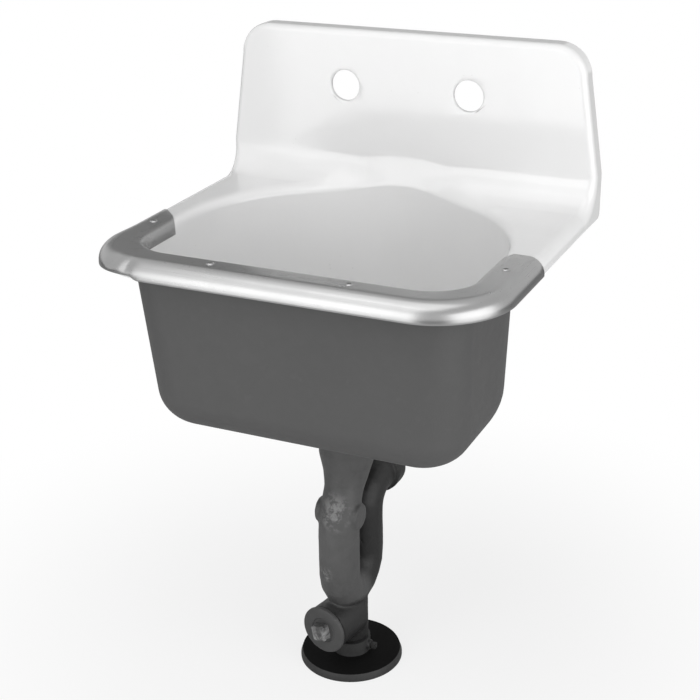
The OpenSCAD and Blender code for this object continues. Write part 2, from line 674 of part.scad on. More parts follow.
// Centre line of the trap, as distance from the wall, height under the rim and radius
floor_z = -rim_h;
front_leg_reach = drain_reach + front_leg_offset;
rear_leg_reach = front_leg_reach - leg_spacing;
outlet_reach = rear_leg_reach - outlet_l;
bend_r = leg_spacing / 2;
bend_z = floor_z + bend_h;
outlet_z = floor_z + outlet_h;
elbow_r = leg_r + trap_wall_t;
neck_inset = 1.5;
neck_r = leg_r - neck_inset;
inlet_low_z = flange_under_z - inlet_l;
bend_n = 8;
elbow_n = 5;
offset_shares = [0.03, 0.17, 0.42, 0.71, 0.93, 1];
drop_shares = [0.08, 0.3, 0.48, 0.65, 0.81, 1];
taper_share = 0.6;
offset_radii = [inlet_r, mix(inlet_r, neck_r, taper_share), neck_r, neck_r, leg_r, leg_r];
offset_path = [for (i = [0:len(offset_shares) - 1])
    [-(drain_reach + front_leg_offset * offset_shares[i]), inlet_low_z - offset_drop * drop_shares[i],
        offset_radii[i]]];
bend_path = [for (i = [0:bend_n]) let (a = 180 + 180 * i / bend_n)
    [-(front_leg_reach - bend_r) + bend_r * cos(a), bend_z + bend_r * sin(a), leg_r]];
elbow_path = [for (i = [0:elbow_n]) let (a = 180 - 90 * i / elbow_n)
    [-(rear_leg_reach - elbow_r) + elbow_r * cos(a), outlet_z - elbow_r + elbow_r * sin(a), leg_r]];
trap_path = concat([[-drain_reach, flange_under_z + trap_flange_t / 2, inlet_r],
    [-drain_reach, inlet_low_z, inlet_r]], offset_path, bend_path, elbow_path,
    [[-(outlet_reach + outlet_bore_l), outlet_z, leg_r]]);
// Rings round that line, square to it
function ring_at(path, i, less, n) = let (
    a = path[max(i - 1, 0)], b = path[min(i + 1, len(path) - 1)],
    d = unit([b[0] - a[0], b[1] - a[1]]), r = path[i][2] - less)
    [for (k = [0:n - 1]) let (t = 360 * k / n)
        [r * cos(t), path[i][0] - r * sin(t) * d[1], path[i][1] + r * sin(t) * d[0]]];
module trap_tube(less, n) {
    tube_solid([for (i = [0:len(trap_path) - 1]) ring_at(trap_path, i, less, n)]);
}

cleanout_z = floor_z + cleanout_h;
shoulder_z = floor_z + collar_h + foot_gap;
column_top_z = bend_z - bend_r;
sump_r = column_r - trap_wall_t;
// Step down from the sump's bore to the cleanout's passage
sump_step = 1;
side_boss_reach = leg_r + side_boss_proud;
side_boss_z = floor_z + side_boss_h;

module to_cleanout() {
    translate([0, -drain_reach, cleanout_z]) rotate([0, 0, -cleanout_angle]) rotate([90, 0, 0]) children();
}

module trap_body() {
    color("#2b2b2b") from_rim() difference() {
        union() {
            trap_tube(0, 24);
            at_drain(flange_under_z) cylinder(r = trap_flange_r, h = trap_flange_t, $fn = 96);
            at_drain(shoulder_z) cylinder(r = column_r, h = column_top_z - shoulder_z, $fn = 64);
            at_drain(shoulder_z - spigot_l) cylinder(r = spigot_r, h = spigot_l + trap_wall_t, $fn = 64);
            to_cleanout() cylinder(r = cleanout_hub_r, h = cleanout_reach, $fn = 64);
            translate([0, -outlet_reach - outlet_bore_l - trap_wall_t, outlet_z]) rotate([-90, 0, 0])
                cylinder(r = outlet_hub_r, h = outlet_bore_l + trap_wall_t, $fn = 64);
            translate([-side_boss_reach, -(front_leg_reach - trap_wall_t), side_boss_z]) rotate([0, 90, 0])
                cylinder(r = side_boss_r, h = 2 * side_boss_reach, $fn = 48);
        }
        trap_tube(trap_wall_t, 16);
        at_drain(flange_under_z) cylinder(r = drain_r, h = trap_flange_t + cut, $fn = 96);
        at_drain(shoulder_z + trap_wall_t) cylinder(r = sump_r, h = column_top_z - shoulder_z, $fn = 64);
        to_cleanout() cylinder(r = sump_r - sump_step, h = cleanout_reach - plug_shank_l, $fn = 64);
        to_cleanout() translate([0, 0, cleanout_reach - plug_shank_l - trap_wall_t])
            cylinder(r = plug_shank_r + run_gap, h = plug_shank_l + trap_wall_t + cut, $fn = 64);
        translate([0, -outlet_reach - outlet_bore_l, outlet_z]) rotate([-90, 0, 0])
            cylinder(r = outlet_bore_r, h = outlet_bore_l + cut, $fn = 64);
        at_drain(flange_under_z - cut) strainer_places()
            cylinder(r = strainer_screw_r + screw_gap, h = trap_flange_t + 2 * cut, $fn = 32);
    }
}

// How far the washer's edge is set in from the hub's
washer_inset = 1;
module cleanout_washer() {
    color("black") from_rim() to_cleanout() translate([0, 0, cleanout_reach]) difference() {
        cylinder(r = cleanout_hub_r - washer_inset, h = plug_washer_t, $fn = 64);
        translate([0, 0, -cut])
            cylinder(r = plug_shank_r + screw_gap, h = plug_washer_t + 2 * cut, $fn = 64);
    }
}

plug_turn = 15;
plug_bevel = 1;
module cleanout_plug() {
    color("#3a3a3a") from_rim() to_cleanout() translate([0, 0, cleanout_reach + plug_washer_t]) {
        rotate_extrude($fn = 64) polygon([[0, -plug_shank_l],
            [plug_shank_r - plug_bevel, -plug_shank_l], [plug_shank_r, -plug_shank_l + plug_bevel],
            [plug_shank_r, 0], [plug_disc_r, 0], [plug_disc_r, plug_disc_t - plug_bevel],
            [plug_disc_r - plug_bevel, plug_disc_t], [0, plug_disc_t]]);
        rotate([0, 0, plug_turn]) translate([-plug_head_w / 2, -plug_head_w / 2, plug_disc_t / 2])
            cube([plug_head_w, plug_head_w, plug_disc_t / 2 + plug_head_h]);
    }
}

set_screw_z = floor_z + (collar_h + foot_t) / 2;
module to_set_screw() {
    translate([0, -drain_reach, set_screw_z]) rotate([0, 90, 0]) children();
}

module floor_flange() {
    bevel = foot_t / 4;
    color("#1e1e1e") from_rim() difference() {
        union() {
            at_drain(floor_z) rotate_extrude($fn = 96) polygon([[0, 0], [foot_r, 0], [foot_r, bevel],
                [foot_r - bevel, foot_t], [collar_r, foot_t], [collar_r, collar_h], [0, collar_h]]);
            to_set_screw() cylinder(r = 2 * set_screw_r, h = collar_r + set_screw_r, $fn = 32);
        }
        at_drain(floor_z - cut) cylinder(r = spigot_r + run_gap, h = collar_h + 2 * cut, $fn = 64);
        to_set_screw() cylinder(r = set_screw_r + run_gap, h = collar_r + set_screw_r + cut, $fn = 32);
    }
}

// How far the set screw's head stands off its boss
set_screw_proud = 1;
module flange_set_screw() {
    start = spigot_r + run_gap;
    shank_l = collar_r + set_screw_r - start + set_screw_proud;
    color("grey") from_rim() to_set_screw() translate([0, 0, start]) {
        cylinder(r = set_screw_r, h = shank_l, $fn = 32);
        translate([-set_screw_r, -set_screw_r, shank_l])
            cube([2 * set_screw_r, 2 * set_screw_r, 2 * set_screw_r]);
    }
}

basin_casting();
rim_guard();
rim_guard_screws();
wall_hanger_left();
wall_hanger_right();
strainer();
strainer_seal();
strainer_screws();
trap_gasket();
trap_body();
trap_washers();
trap_nuts();
cleanout_plug();
cleanout_washer();
floor_flange();
flange_set_screw();
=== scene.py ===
import math

import bmesh
import bpy
from mathutils import Matrix, Vector, noise


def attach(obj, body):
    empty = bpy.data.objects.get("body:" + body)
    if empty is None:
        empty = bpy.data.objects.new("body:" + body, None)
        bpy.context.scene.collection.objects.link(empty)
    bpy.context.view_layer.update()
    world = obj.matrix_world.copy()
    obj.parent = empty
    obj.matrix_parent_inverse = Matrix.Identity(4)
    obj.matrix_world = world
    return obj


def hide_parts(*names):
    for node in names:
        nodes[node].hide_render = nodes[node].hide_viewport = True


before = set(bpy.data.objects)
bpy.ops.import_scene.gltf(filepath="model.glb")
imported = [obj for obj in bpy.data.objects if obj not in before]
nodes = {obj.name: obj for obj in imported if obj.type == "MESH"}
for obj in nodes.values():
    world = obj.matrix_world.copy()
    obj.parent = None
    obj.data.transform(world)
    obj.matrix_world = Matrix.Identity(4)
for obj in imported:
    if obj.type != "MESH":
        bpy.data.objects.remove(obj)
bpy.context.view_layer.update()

# Sizes in millimetres, as in the part's source. The casting is drawn from the rim, whose deck
# lies RIM_DROP under the middle of the hanger's screw pattern.
MM = 0.001
RIM_DROP = 160.0
DECK_HALF, DECK_REACH, DECK_CORNER_R = 303.0, 495.0, 110.0
BACK_H, BACK_DEPTH, BACK_CORNER_R = 237.0, 30.0, 50.0
BACK_LOW_HALF, BACK_TOP_HALF = 304.0, 275.0
COVE_R, IRON_T, RIM_ROLL_R, BACK_ROLL_R, LIP_H = 45.0, 8.0, 22.0, 10.0, 23.0
MOUTH_HALF, MOUTH_REACH, MOUTH_CENTRE, MOUTH_CORNER_R, MOUTH_DROP = 262.0, 450.0, 258.0, 82.0, 14.0
# How far the round back of the mouth and of the bowl reaches, as shares of their half widths
MOUTH_BACK_SHARE, BOWL_BACK_SHARE = 0.916, 0.976
# The share of the cove up to which the mouth's line follows it, before it bends onto the back
MOUTH_BEND_SHARE = 0.75
BOWL_CENTRE, BOWL_H, BOWL_FLOOR_R, FLOOR_FALL, FLOOR_CORNER_R = 282.0, 270.0, 44.0, 4.0, 71.0
# Half width at the rim and at the floor, reach at the rim and at the floor, corner's radius
INNER_FACE = (246.0, 233.0, 441.0, 431.0, 55.0)
OUTER_FACE = (254.0, 241.0, 458.0, 443.0, 54.0)
DRAIN_REACH, DRAIN_R, STRAINER_R, SEAT_H, STRAINER_PROUD = 260.0, 38.0, 60.0, 4.5, 1.0
BOSS_R, BOSS_H = 68.0, 6.0
SEAT_GAP, SEAT_LIP_R, SEAT_LIP_H, BOSS_EDGE, DISH_FALL_SHARE = 0.2, 2.0, 1.5, 1.0, 0.85
FAUCET_X, FAUCET_H, FAUCET_R = 101.6, 150.0, 24.0
FAUCET_FRONT_LIP, FAUCET_BACK_LIP = 2.6, 1.0
HANGER_X, HANGER_T, PLATE_H, OVER_HOLES, HOLE_SPACING = 203.2, 4.0, 96.0, 16.0, 34.0
HOOK_H, HOOK_GAP, LUG_T, LUG_H, LUG_W = 18.0, 0.4, 9.0, 30.0, 46.0
GUARD_END, GUARD_CUT, GUARD_SLANT, GUARD_T, GUARD_GAP = 270.0, 20.0, 27.0, 1.5, 0.3
FRONT_SCREW_X, SIDE_SCREW_GAP, SCREW_HEAD_R = 103.0, 64.0, 5.8
GUARD_LEG_H, GUARD_SKIRT_H = 20.0, 25.0
# The knock in the guard's left corner, and how deep the two dents in it go
KNOCK_OUT, KNOCK_UP, DENT_IN, DENT_DOWN = 6.5, 5.0, 2.2, 1.0
RIM_H, CLEANOUT_H, CLEANOUT_REACH, CLEANOUT_TURN = 724.0, 82.0, 65.0, math.radians(12.0)
WASHER_T, DISC_R, DISC_T, SHANK_R, SHANK_L = 2.0, 38.5, 6.0, 29.5, 20.0
HEAD_W, HEAD_H, HEAD_TURN, FLANGE_T = 25.0, 13.0, 15.0, 12.0

# Steps round the casting: half of the back, then the straight side, corner and front
DECK_N, COVE_N, EDGE_N, TOP_CORNER_N, TOP_N = 20, 16, 8, 12, 8
GAP_N, SIDE_N, CORNER_N, FRONT_N = 3, 6, 30, 18
FLAT_N = EDGE_N + TOP_CORNER_N + TOP_N
HALF_N = DECK_N + COVE_N + FLAT_N
BACK_N = 2 * HALF_N
AROUND_N = BACK_N + 2 * (GAP_N + SIDE_N + CORNER_N) + FRONT_N
# Steps along its section
FLOOR_N, MOUTH_N, SKIN_N, ROLL_N, UNDER_N, DISH_N = 12, 10, 8, 12, 5, 4

COVE_START = -(BACK_DEPTH + COVE_R)
COVE_END = COVE_START + COVE_R * math.pi / 2
BACK_TOP = COVE_END + BACK_H - COVE_R
FLOOR_SHARE = (BOWL_H - BOWL_FLOOR_R) / BOWL_H


def mix(a, b, share):
    return a + (b - a) * share


def clamp(value, low=0.0, high=1.0):
    return max(low, min(high, value))


def smooth(low, high, value):
    """0 below low, 1 above high, and an even curve between them."""
    share = clamp((value - low) / (high - low))
    return share * share * (3 - 2 * share)


# The casting's skin is drawn flat, measured along the deck, up the cove and up the back.
def lean(s):
    """Angle of the skin at that length: none on the deck, a right angle on the back."""
    return clamp((s - COVE_START) / COVE_R, 0.0, math.pi / 2)


def up_at(s):
    """Direction straight out of the skin at that length."""
    return Vector((0, -math.sin(lean(s)), math.cos(lean(s))))


def back_at(s):
    """Direction along the skin towards its top at that length."""
    return Vector((0, math.cos(lean(s)), math.sin(lean(s))))


def skin_place(p):
    """Place in space of a place on the flat drawing."""
    x, s = p
    if s < COVE_START:
        return Vector((x, s, 0))
    if s < COVE_END:
        return Vector((x, COVE_START + COVE_R * math.sin(lean(s)), COVE_R * (1 - math.cos(lean(s)))))
    return Vector((x, -BACK_DEPTH, COVE_R + s - COVE_END))


def unrolled(y, r):
    """Length along the skin of a place in plan, for a cove of that radius."""
    if y <= COVE_START:
        return y
    if y <= COVE_START + r:
        return COVE_START + COVE_R * math.asin((y - COVE_START) / r)
    return COVE_END + y - COVE_START - r


MOUTH_BACK = MOUTH_HALF * MOUTH_BACK_SHARE


def mouth_climb(y):
    """Length along the skin of the mouth's line, which meets the back in an even bend."""
    low, high = COVE_START + MOUTH_BEND_SHARE * COVE_R, MOUTH_BACK - MOUTH_CENTRE
    if y <= low:
        return unrolled(y, COVE_R)
    t = (y - low) / (high - low)
    slope = (high - low) / math.sqrt(1 - MOUTH_BEND_SHARE ** 2)
    start, end = unrolled(low, COVE_R), unrolled(high, COVE_R)
    return (mix(start, end, t * t * (3 - 2 * t)) + slope * t * (1 - t) ** 2
            + (high - low) * t * t * (t - 1))


COVE_ANGLE = math.asin((MOUTH_CENTRE + COVE_START) / MOUTH_BACK)
FLAT_ANGLE = math.asin((MOUTH_CENTRE - BACK_DEPTH) / MOUTH_BACK)


def half_angle(i):
    """Angle on the half-round back at step i, with steps that end at the cove's two edges."""
    if i <= DECK_N:
        return COVE_ANGLE * i / DECK_N
    if i <= DECK_N + COVE_N:
        return mix(COVE_ANGLE, FLAT_ANGLE, (i - DECK_N) / COVE_N)
    return mix(FLAT_ANGLE, math.pi / 2, (i - DECK_N - COVE_N) / FLAT_N)


def back_angle(i):
    return half_angle(i) if i <= HALF_N else math.pi - half_angle(BACK_N - i)


def arc(centre, r, start, steps):
    """Places on a quarter round, without its last one."""
    turn = [math.radians(start + 90 * i / steps) for i in range(steps)]
    return [(centre[0] + r * math.cos(a), centre[1] + r * math.sin(a)) for a in turn]


def front_outline(half, centre, end, reach, r):
    """Left side, front and right side of an outline, with its rounded front corners."""
    places = [mix(centre, end, i / GAP_N) for i in range(GAP_N)]
    places += [mix(end, reach - r, i / SIDE_N) for i in range(SIDE_N + 1)]
    left = [(-half, -y) for y in places[:-1]]
    front = [(mix(r - half, half - r, i / FRONT_N), -reach) for i in range(FRONT_N)]
    right = [(half, -y) for y in reversed(places[1:])]
    return (left + arc((r - half, r - reach), r, 180, CORNER_N) + front
            + arc((half - r, r - reach), r, 270, CORNER_N) + right)


def bowl_outline(half, centre, end, reach, r, back_share):
    """Outline with a half-round back and a straight front, as the bowl and its mouth have."""
    turn = [back_angle(i) for i in range(BACK_N)]
    back = [(half * math.cos(a), half * back_share * math.sin(a) - centre) for a in turn]
    return back + front_outline(half, centre, end, reach, r)


def edge_x(s):
    """Half width of the casting at that length of its skin."""
    if s < COVE_END:
        return mix(DECK_HALF, BACK_LOW_HALF, clamp((s - COVE_START) / (COVE_END - COVE_START)))
    return mix(BACK_LOW_HALF, BACK_TOP_HALF, (s - COVE_END) / (BACK_TOP - COVE_END))


def rim_places():
    """Outline of the whole developed casting, in step with the bowl's outline."""
    stop = BACK_TOP - BACK_CORNER_R
    climb = [unrolled(MOUTH_BACK * math.sin(half_angle(i)) - MOUTH_CENTRE, COVE_R)
             for i in range(DECK_N + COVE_N + 1)]
    climb = climb[:-1] + [mix(climb[-1], stop, i / EDGE_N) for i in range(EDGE_N)]
    edge = [(edge_x(s), s) for s in climb]
    x = edge_x(stop) - BACK_CORNER_R
    corner = arc((x, stop), BACK_CORNER_R, 0, TOP_CORNER_N) + [(x, BACK_TOP)]
    top = [(mix(x, -x, i / (2 * TOP_N)), BACK_TOP) for i in range(1, 2 * TOP_N)]
    mirrored = [(-p[0], p[1]) for p in reversed((edge + corner)[1:])]
    return edge + corner + top + mirrored + front_outline(
        DECK_HALF, MOUTH_CENTRE, GUARD_END, DECK_REACH, DECK_CORNER_R)


rim = [Vector(p) for p in rim_places()]
rim_normals = []
for i in range(AROUND_N):
    along = rim[(i + 1) % AROUND_N] - rim[i - 1]
    rim_normals.append(Vector((along.y, -along.x)).normalized())


def roll_r(i):
    """Radius of the rolled edge, which is tighter on the splash back."""
    return mix(RIM_ROLL_R, BACK_ROLL_R, clamp((rim[i].y - COVE_START) / (COVE_END - COVE_START)))


roll_start = [rim[i] - roll_r(i) * rim_normals[i] for i in range(AROUND_N)]
roll_out = [Vector((n.x, 0, 0)) + n.y * back_at(p.y) for n, p in zip(rim_normals, roll_start)]


def lip_drop(i):
    """Depth of the lip under the skin, down to the lip's line or back to the wall."""
    s, p, a = roll_start[i].y, skin_place(roll_start[i]), lean(roll_start[i].y)
    if a == 0:
        return LIP_H
    if a == math.pi / 2:
        return BACK_DEPTH
    return min((p.z + LIP_H) / math.cos(a), -p.y / math.sin(a))


def roll_point(i, depth, out):
    """Place on the rolled edge, that deep under the skin and that far out."""
    return skin_place(roll_start[i]) + out * roll_out[i] - depth * up_at(roll_start[i].y)


def bowl_ring(face, share, inset, z):
    """Outline of a bowl's face at that share of its depth, and at height z."""
    half, reach = mix(face[0], face[1], share) - inset, mix(face[2], face[3], share) - inset
    corner = max(mix(face[4], FLOOR_CORNER_R, share) - inset, IRON_T)
    outline = bowl_outline(half, BOWL_CENTRE, GUARD_END + GUARD_CUT, reach, corner, BOWL_BACK_SHARE)
    return [Vector((p[0], p[1], z)) for p in outline]


bowl_top = bowl_ring(INNER_FACE, 0, 0, 0)
wall_line = [Vector((p.x, unrolled(p.y, COVE_R))) for p in bowl_top]
mouth_line = [Vector((p[0], mouth_climb(p[1]))) for p in bowl_outline(
    MOUTH_HALF, MOUTH_CENTRE, GUARD_END, MOUTH_REACH, MOUTH_CORNER_R, MOUTH_BACK_SHARE)]
apron_line = [Vector((p.x, unrolled(p.y, COVE_R + IRON_T))) for p in bowl_ring(OUTER_FACE, 0, 0, 0)]


def mouth_curve(i):
    """Four places that draw the mouth's rounded edge, from the wall's line to the skin's."""
    top, flat, s = skin_place(wall_line[i]), skin_place(mouth_line[i]), mouth_line[i].y
    low = top - Vector((0, 0, MOUTH_DROP))
    inward = wall_line[i] - mouth_line[i]
    inward = Vector((inward.x, 0, 0)) + inward.y * back_at(s)
    return low, mix(low, top, 2 / 3), flat + inward * 2 / 3, flat


def mouth_point(i, t):
    """Place on the mouth's rounded edge at that share of its curve."""
    a, b, c, d = mouth_curve(i)
    return (1 - t) ** 3 * a + 3 * t * (1 - t) ** 2 * b + 3 * t * t * (1 - t) * c + t ** 3 * d


def mouth_normal(i, t):
    """Direction straight out of the mouth's rounded edge."""
    a, b, c, d = mouth_curve(i)
    along = (1 - t) ** 2 * (b - a) + 2 * t * (1 - t) * (c - b) + t * t * (d - c)
    side = (mouth_line[i] - wall_line[i]).normalized()
    return Vector((-side.x * along.z, -side.y * along.z, math.hypot(along.x, along.y))).normalized()


def skin_point(i, share):
    return skin_place(mix(mouth_line[i], roll_start[i], share))


def under_point(i, share):
    p = mix(roll_start[i], apron_line[i], share)
    return skin_place(p) - IRON_T * up_at(p.y)


def drain_ring(r, z):
    """Round ring about the drain, in step with the bowl's outline."""
    centre = Vector((0, -DRAIN_REACH, 0))
    return [centre + (p - centre).normalized() * r + Vector((0, 0, z)) for p in bowl_top]


def per_step(point):
    return [point(i) for i in range(AROUND_N)]


# Pieces
def loft(bm, rings, closed=True, materials=None):
    """Runs a line of edges through rings of places, one extrusion for each ring."""
    line = [bm.verts.new(p) for p in rings[0]]
    count = len(line)
    pairs = [(i, (i + 1) % count) for i in range(count if closed else count - 1)]
    edges = [bm.edges.new((line[a], line[b])) for a, b in pairs]
    for step, places in enumerate(rings[1:]):
        made = bmesh.ops.extrude_edge_only(bm, edges=edges)["geom"]
        fresh = {v for v in made if isinstance(v, bmesh.types.BMVert)}
        line = [next(e.other_vert(v) for e in v.link_edges if e.other_vert(v) in fresh) for v in line]
        for vert, place in zip(line, places):
            vert.co = place
        edges = [bm.edges.get((line[a], line[b])) for a, b in pairs]
        for face in made:
            if isinstance(face, bmesh.types.BMFace) and materials:
                face.material_index = materials[step]


def to_object(name, bm):
    """Puts a mesh into the scene and lets go of its working copy."""
    mesh = bpy.data.meshes.new(name)
    bm.to_mesh(mesh)
    bm.free()
    obj = bpy.data.objects.new(name, mesh)
    bpy.context.scene.collection.objects.link(obj)
    return obj


def piece(name, bm, finishes, body, replaced=(), sharp=35.0, modifiers=()):
    """Makes the finished object of a mesh, which is already in its place, in metres."""
    obj = to_object(name, bm)
    for made in finishes:
        obj.data.materials.append(made)
    for kind, settings in modifiers:
        modifier = obj.modifiers.new(kind.title(), kind)
        for key, value in settings.items():
            setattr(modifier, key, value)
    settle(obj, sharp)
    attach(obj, body)
    if replaced:
        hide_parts(*replaced)
    return obj


def settle(obj, sharp=35.0):
    """Applies an object's modifiers and shades it smooth, with its hard edges kept."""
    if obj.modifiers:
        seen = obj.evaluated_get(bpy.context.evaluated_depsgraph_get())
        mesh = bpy.data.meshes.new_from_object(seen)
        obj.modifiers.clear()
        obj.data = mesh
    obj.data.shade_smooth()
    obj.data.set_sharp_from_angle(angle=math.radians(sharp))


def cut(obj, shapes):
    """Takes each shape out of an object."""
    cutters = []
    for bm in shapes:
        cutter = to_object("cutter", bm)
        modifier = obj.modifiers.new("Cut", "BOOLEAN")
        modifier.operation, modifier.object, modifier.solver = "DIFFERENCE", cutter, "EXACT"
        cutters.append(cutter)
    bpy.context.view_layer.update()
    settle(obj)
    for cutter in cutters:
        bpy.data.objects.remove(cutter)


def turned(bm, section, steps=96, centre=(0, 0)):
    """Spins a section of (radius, height) round the upright axis through the centre."""
    line = [bm.verts.new((centre[0] + r, centre[1], z)) for r, z in section]
    edges = [bm.edges.new(pair) for pair in zip(line, line[1:])]
    bmesh.ops.spin(bm, geom=line + edges, cent=(*centre, 0), axis=(0, 0, 1),
                   angle=2 * math.pi, steps=steps, use_merge=True)
    bmesh.ops.remove_doubles(bm, verts=bm.verts, dist=1e-4)
    outward(bm)


def in_metres(bm, matrix=Matrix.Identity(4)):
    """Turns a mesh from millimetres under the rim to metres in the frame."""
    place = Matrix.Scale(MM, 4) @ Matrix.Translation((0, 0, -RIM_DROP)) @ matrix
    bmesh.ops.transform(bm, matrix=place, verts=bm.verts)


def outward(bm):
    bmesh.ops.recalc_face_normals(bm, faces=bm.faces)


def merged_copy(node):
    """The CAD solid's own mesh, with its loose triangles joined again."""
    bm = bmesh.new()
    bm.from_mesh(nodes[node].data)
    bmesh.ops.remove_doubles(bm, verts=bm.verts, dist=1e-6)
    bmesh.ops.dissolve_limit(bm, angle_limit=math.radians(1), verts=bm.verts, edges=bm.edges)
    return bm


# Finishes
class Value:
    """A shader value. Each sum, difference or product of values adds a node to its finish."""

    def __init__(self, finish, socket):
        self.finish, self.socket = finish, socket

    def __add__(self, other):
        return self.finish.math("ADD", self, other)

    def __sub__(self, other):
        return self.finish.math("SUBTRACT", self, other)

    def __rsub__(self, other):
        return self.finish.math("SUBTRACT", other, self)

    def __mul__(self, other):
        return self.finish.math("MULTIPLY", self, other)

    __radd__, __rmul__ = __add__, __mul__


class Finish:
    """Builds the node tree of a material or of the world."""

    def __init__(self, tree):
        self.tree = tree
        tree.nodes.clear()

    def node(self, kind, settings=None, values=None, out=0):
        made = self.tree.nodes.new(kind)
        for key, value in (settings or {}).items():
            setattr(made, key, value)
        for key, value in (values or {}).items():
            if isinstance(value, Value):
                self.tree.links.new(value.socket, made.inputs[key])
            else:
                made.inputs[key].default_value = value
        return Value(self, made.outputs[out]) if made.outputs else None

    def math(self, operation, *values, held=False):
        return self.node("ShaderNodeMath", {"operation": operation, "use_clamp": held},
                         dict(enumerate(values)))

    def place(self):
        return self.node("ShaderNodeTexCoord", out="Object")

    def part_of(self, vector, axis):
        return self.node("ShaderNodeSeparateXYZ", values={"Vector": vector}, out=axis)

    def mapped(self, vector, scale):
        return self.node("ShaderNodeMapping", values={"Vector": vector, "Scale": scale})

    def noise(self, vector, scale, detail=3.0, rough=0.55, bend=0.0):
        return self.node("ShaderNodeTexNoise", values={
            "Vector": vector, "Scale": scale, "Detail": detail, "Roughness": rough, "Distortion": bend})

    def cells(self, vector, scale):
        return self.node("ShaderNodeTexVoronoi", values={"Vector": vector, "Scale": scale})

    def rise(self, value, low, high):
        """0 below low, 1 above high, and an even curve between them."""
        return self.node("ShaderNodeMapRange", {"interpolation_type": "SMOOTHSTEP"},
                         {"Value": value, "From Min": low, "From Max": high})

    def blend(self, share, a, b):
        return self.node("ShaderNodeMix", {"data_type": "RGBA"}, {0: share, 6: a, 7: b}, out=2)

    def from_point(self, vector, point):
        return self.node("ShaderNodeVectorMath", {"operation": "DISTANCE"},
                         {0: vector, 1: point}, out="Value")

    def along(self, vector, axis):
        return self.node("ShaderNodeVectorMath", {"operation": "DOT_PRODUCT"},
                         {0: vector, 1: axis}, out="Value")

    def bump(self, height, distance, strength):
        return self.node("ShaderNodeBump", values={
            "Height": height, "Distance": distance, "Strength": strength})

    def shader(self, **values):
        named = {key.replace("_", " "): value for key, value in values.items()}
        return self.node("ShaderNodeBsdfPrincipled", values=named)

    def output(self, shader, kind="ShaderNodeOutputMaterial"):
        self.node(kind, values={"Surface": shader})


def grey(value, warm=0.0):
    return (value * (1 + warm), value, value * (1 - warm), 1.0)


def finish(name, recipe, **settings):
    made = bpy.data.materials.new(name)
    made.use_nodes = True
    tree = Finish(made.node_tree)
    tree.output(recipe(tree, **settings))
    return made


DRAIN_POINT = (0.0, -DRAIN_REACH * MM, -(RIM_DROP + BOWL_H) * MM)
# Where the marks round the drain begin to fade and where they end, in metres from it
STAIN_FROM, STAIN_TO = 0.06, 0.17


def enamel_recipe(f):
    """Glossy fired enamel: cloudy whites, a soft ripple, and dull mineral marks at the drain."""
    p = f.place()
    cloud = f.noise(p, 4.0, 3, 0.6, 0.4)
    peel = f.noise(p, 140.0, 2, 0.4)
    ripple = f.noise(p, 26.0, 2, 0.5)
    specks = 1 - f.rise(f.cells(p, 95.0), 0.045, 0.075)
    specks = specks * f.rise(f.noise(p, 11.0, 1), 0.6, 0.68)
    near = 1 - f.rise(f.from_point(p, DRAIN_POINT), STAIN_FROM, STAIN_TO)
    stain = near * f.rise(f.noise(p, 19.0, 4, 0.65, 0.8), 0.42, 0.72)
    dull = f.rise(f.noise(p, 8.0, 4, 0.7, 0.6), 0.5, 0.75)
    colour = f.blend(cloud, grey(0.79), grey(0.85))
    colour = f.blend(stain * 0.35, colour, grey(0.52, 0.06))
    colour = f.blend(specks * 0.5, colour, grey(0.35, 0.05))
    return f.shader(Base_Color=colour, Roughness=0.10 + dull * 0.10 + stain * 0.18, IOR=1.52,
                    Normal=f.bump(peel * 0.5 + ripple, 0.00022, 0.5))


def paint_recipe(f):
    """Flat grey paint on the rough outside of the casting."""
    p = f.place()
    sand = f.noise(p, 420.0, 4, 0.7)
    lumps = f.noise(p, 46.0, 4, 0.6, 0.3)
    cloud = f.noise(p, 6.0, 4, 0.6, 0.5)
    colour = f.blend(cloud, grey(0.058), grey(0.069))
    colour = f.blend(f.rise(lumps, 0.56, 0.80) * 0.3, colour, grey(0.095))
    return f.shader(Base_Color=colour, Roughness=0.52 + lumps * 0.22,
                    Normal=f.bump(sand * 0.35 + lumps, 0.0006, 0.6))


# How far from the middle the guard's brushing turns to run along its side arms, in metres
ARM_FROM, ARM_TO = 0.236, 0.284


def brushed_recipe(f, tone, rough, turned=False):
    """Satin sheet steel, brushed along its length, with faint smears."""
    p = f.place()
    along_x = f.noise(f.mapped(p, (9, 1500, 1500)), 1.0, 3, 0.65)
    if turned:
        along_y = f.noise(f.mapped(p, (1500, 9, 1500)), 1.0, 3, 0.65)
        side = f.rise(f.math("ABSOLUTE", f.part_of(p, "X")), ARM_FROM, ARM_TO)
        lines = along_x * (1 - side) + along_y * side
    else:
        lines = along_x
    smear = f.noise(p, 14.0, 4, 0.6, 0.8)
    scuffs = f.rise(f.noise(f.mapped(p, (90, 260, 260)), 1.0, 4, 0.7), 0.66, 0.74)
    colour = f.blend(lines, grey(tone * 0.88), grey(tone * 1.10))
    colour = f.blend(smear * 0.35, colour, grey(tone * 0.78))
    return f.shader(Base_Color=colour, Metallic=1.0, Anisotropic=0.35,
                    Roughness=rough + lines * 0.10 + smear * 0.10 - scuffs * 0.05,
                    Normal=f.bump(lines + scuffs * 0.6, 0.00006, 0.5))


# Places on the trap where its coat has been knocked off, each with its radius, in metres
TRAP_CHIPS = (((0.004, -0.328, -0.590), 0.040), ((0.036, -0.318, -0.575), 0.013),
              ((0.020, -0.236, -0.721), 0.009), ((-0.010, -0.325, -0.700), 0.016))

# Heights over which the painted shade on the foot fades out, and distances from the wall over which the
# painted shade on the rear leg does, in metres
FOOT_SHADE_FULL, FOOT_SHADE_NONE, LEG_SHADE_NONE, LEG_SHADE_FULL = -0.775, -0.755, -0.262, -0.236
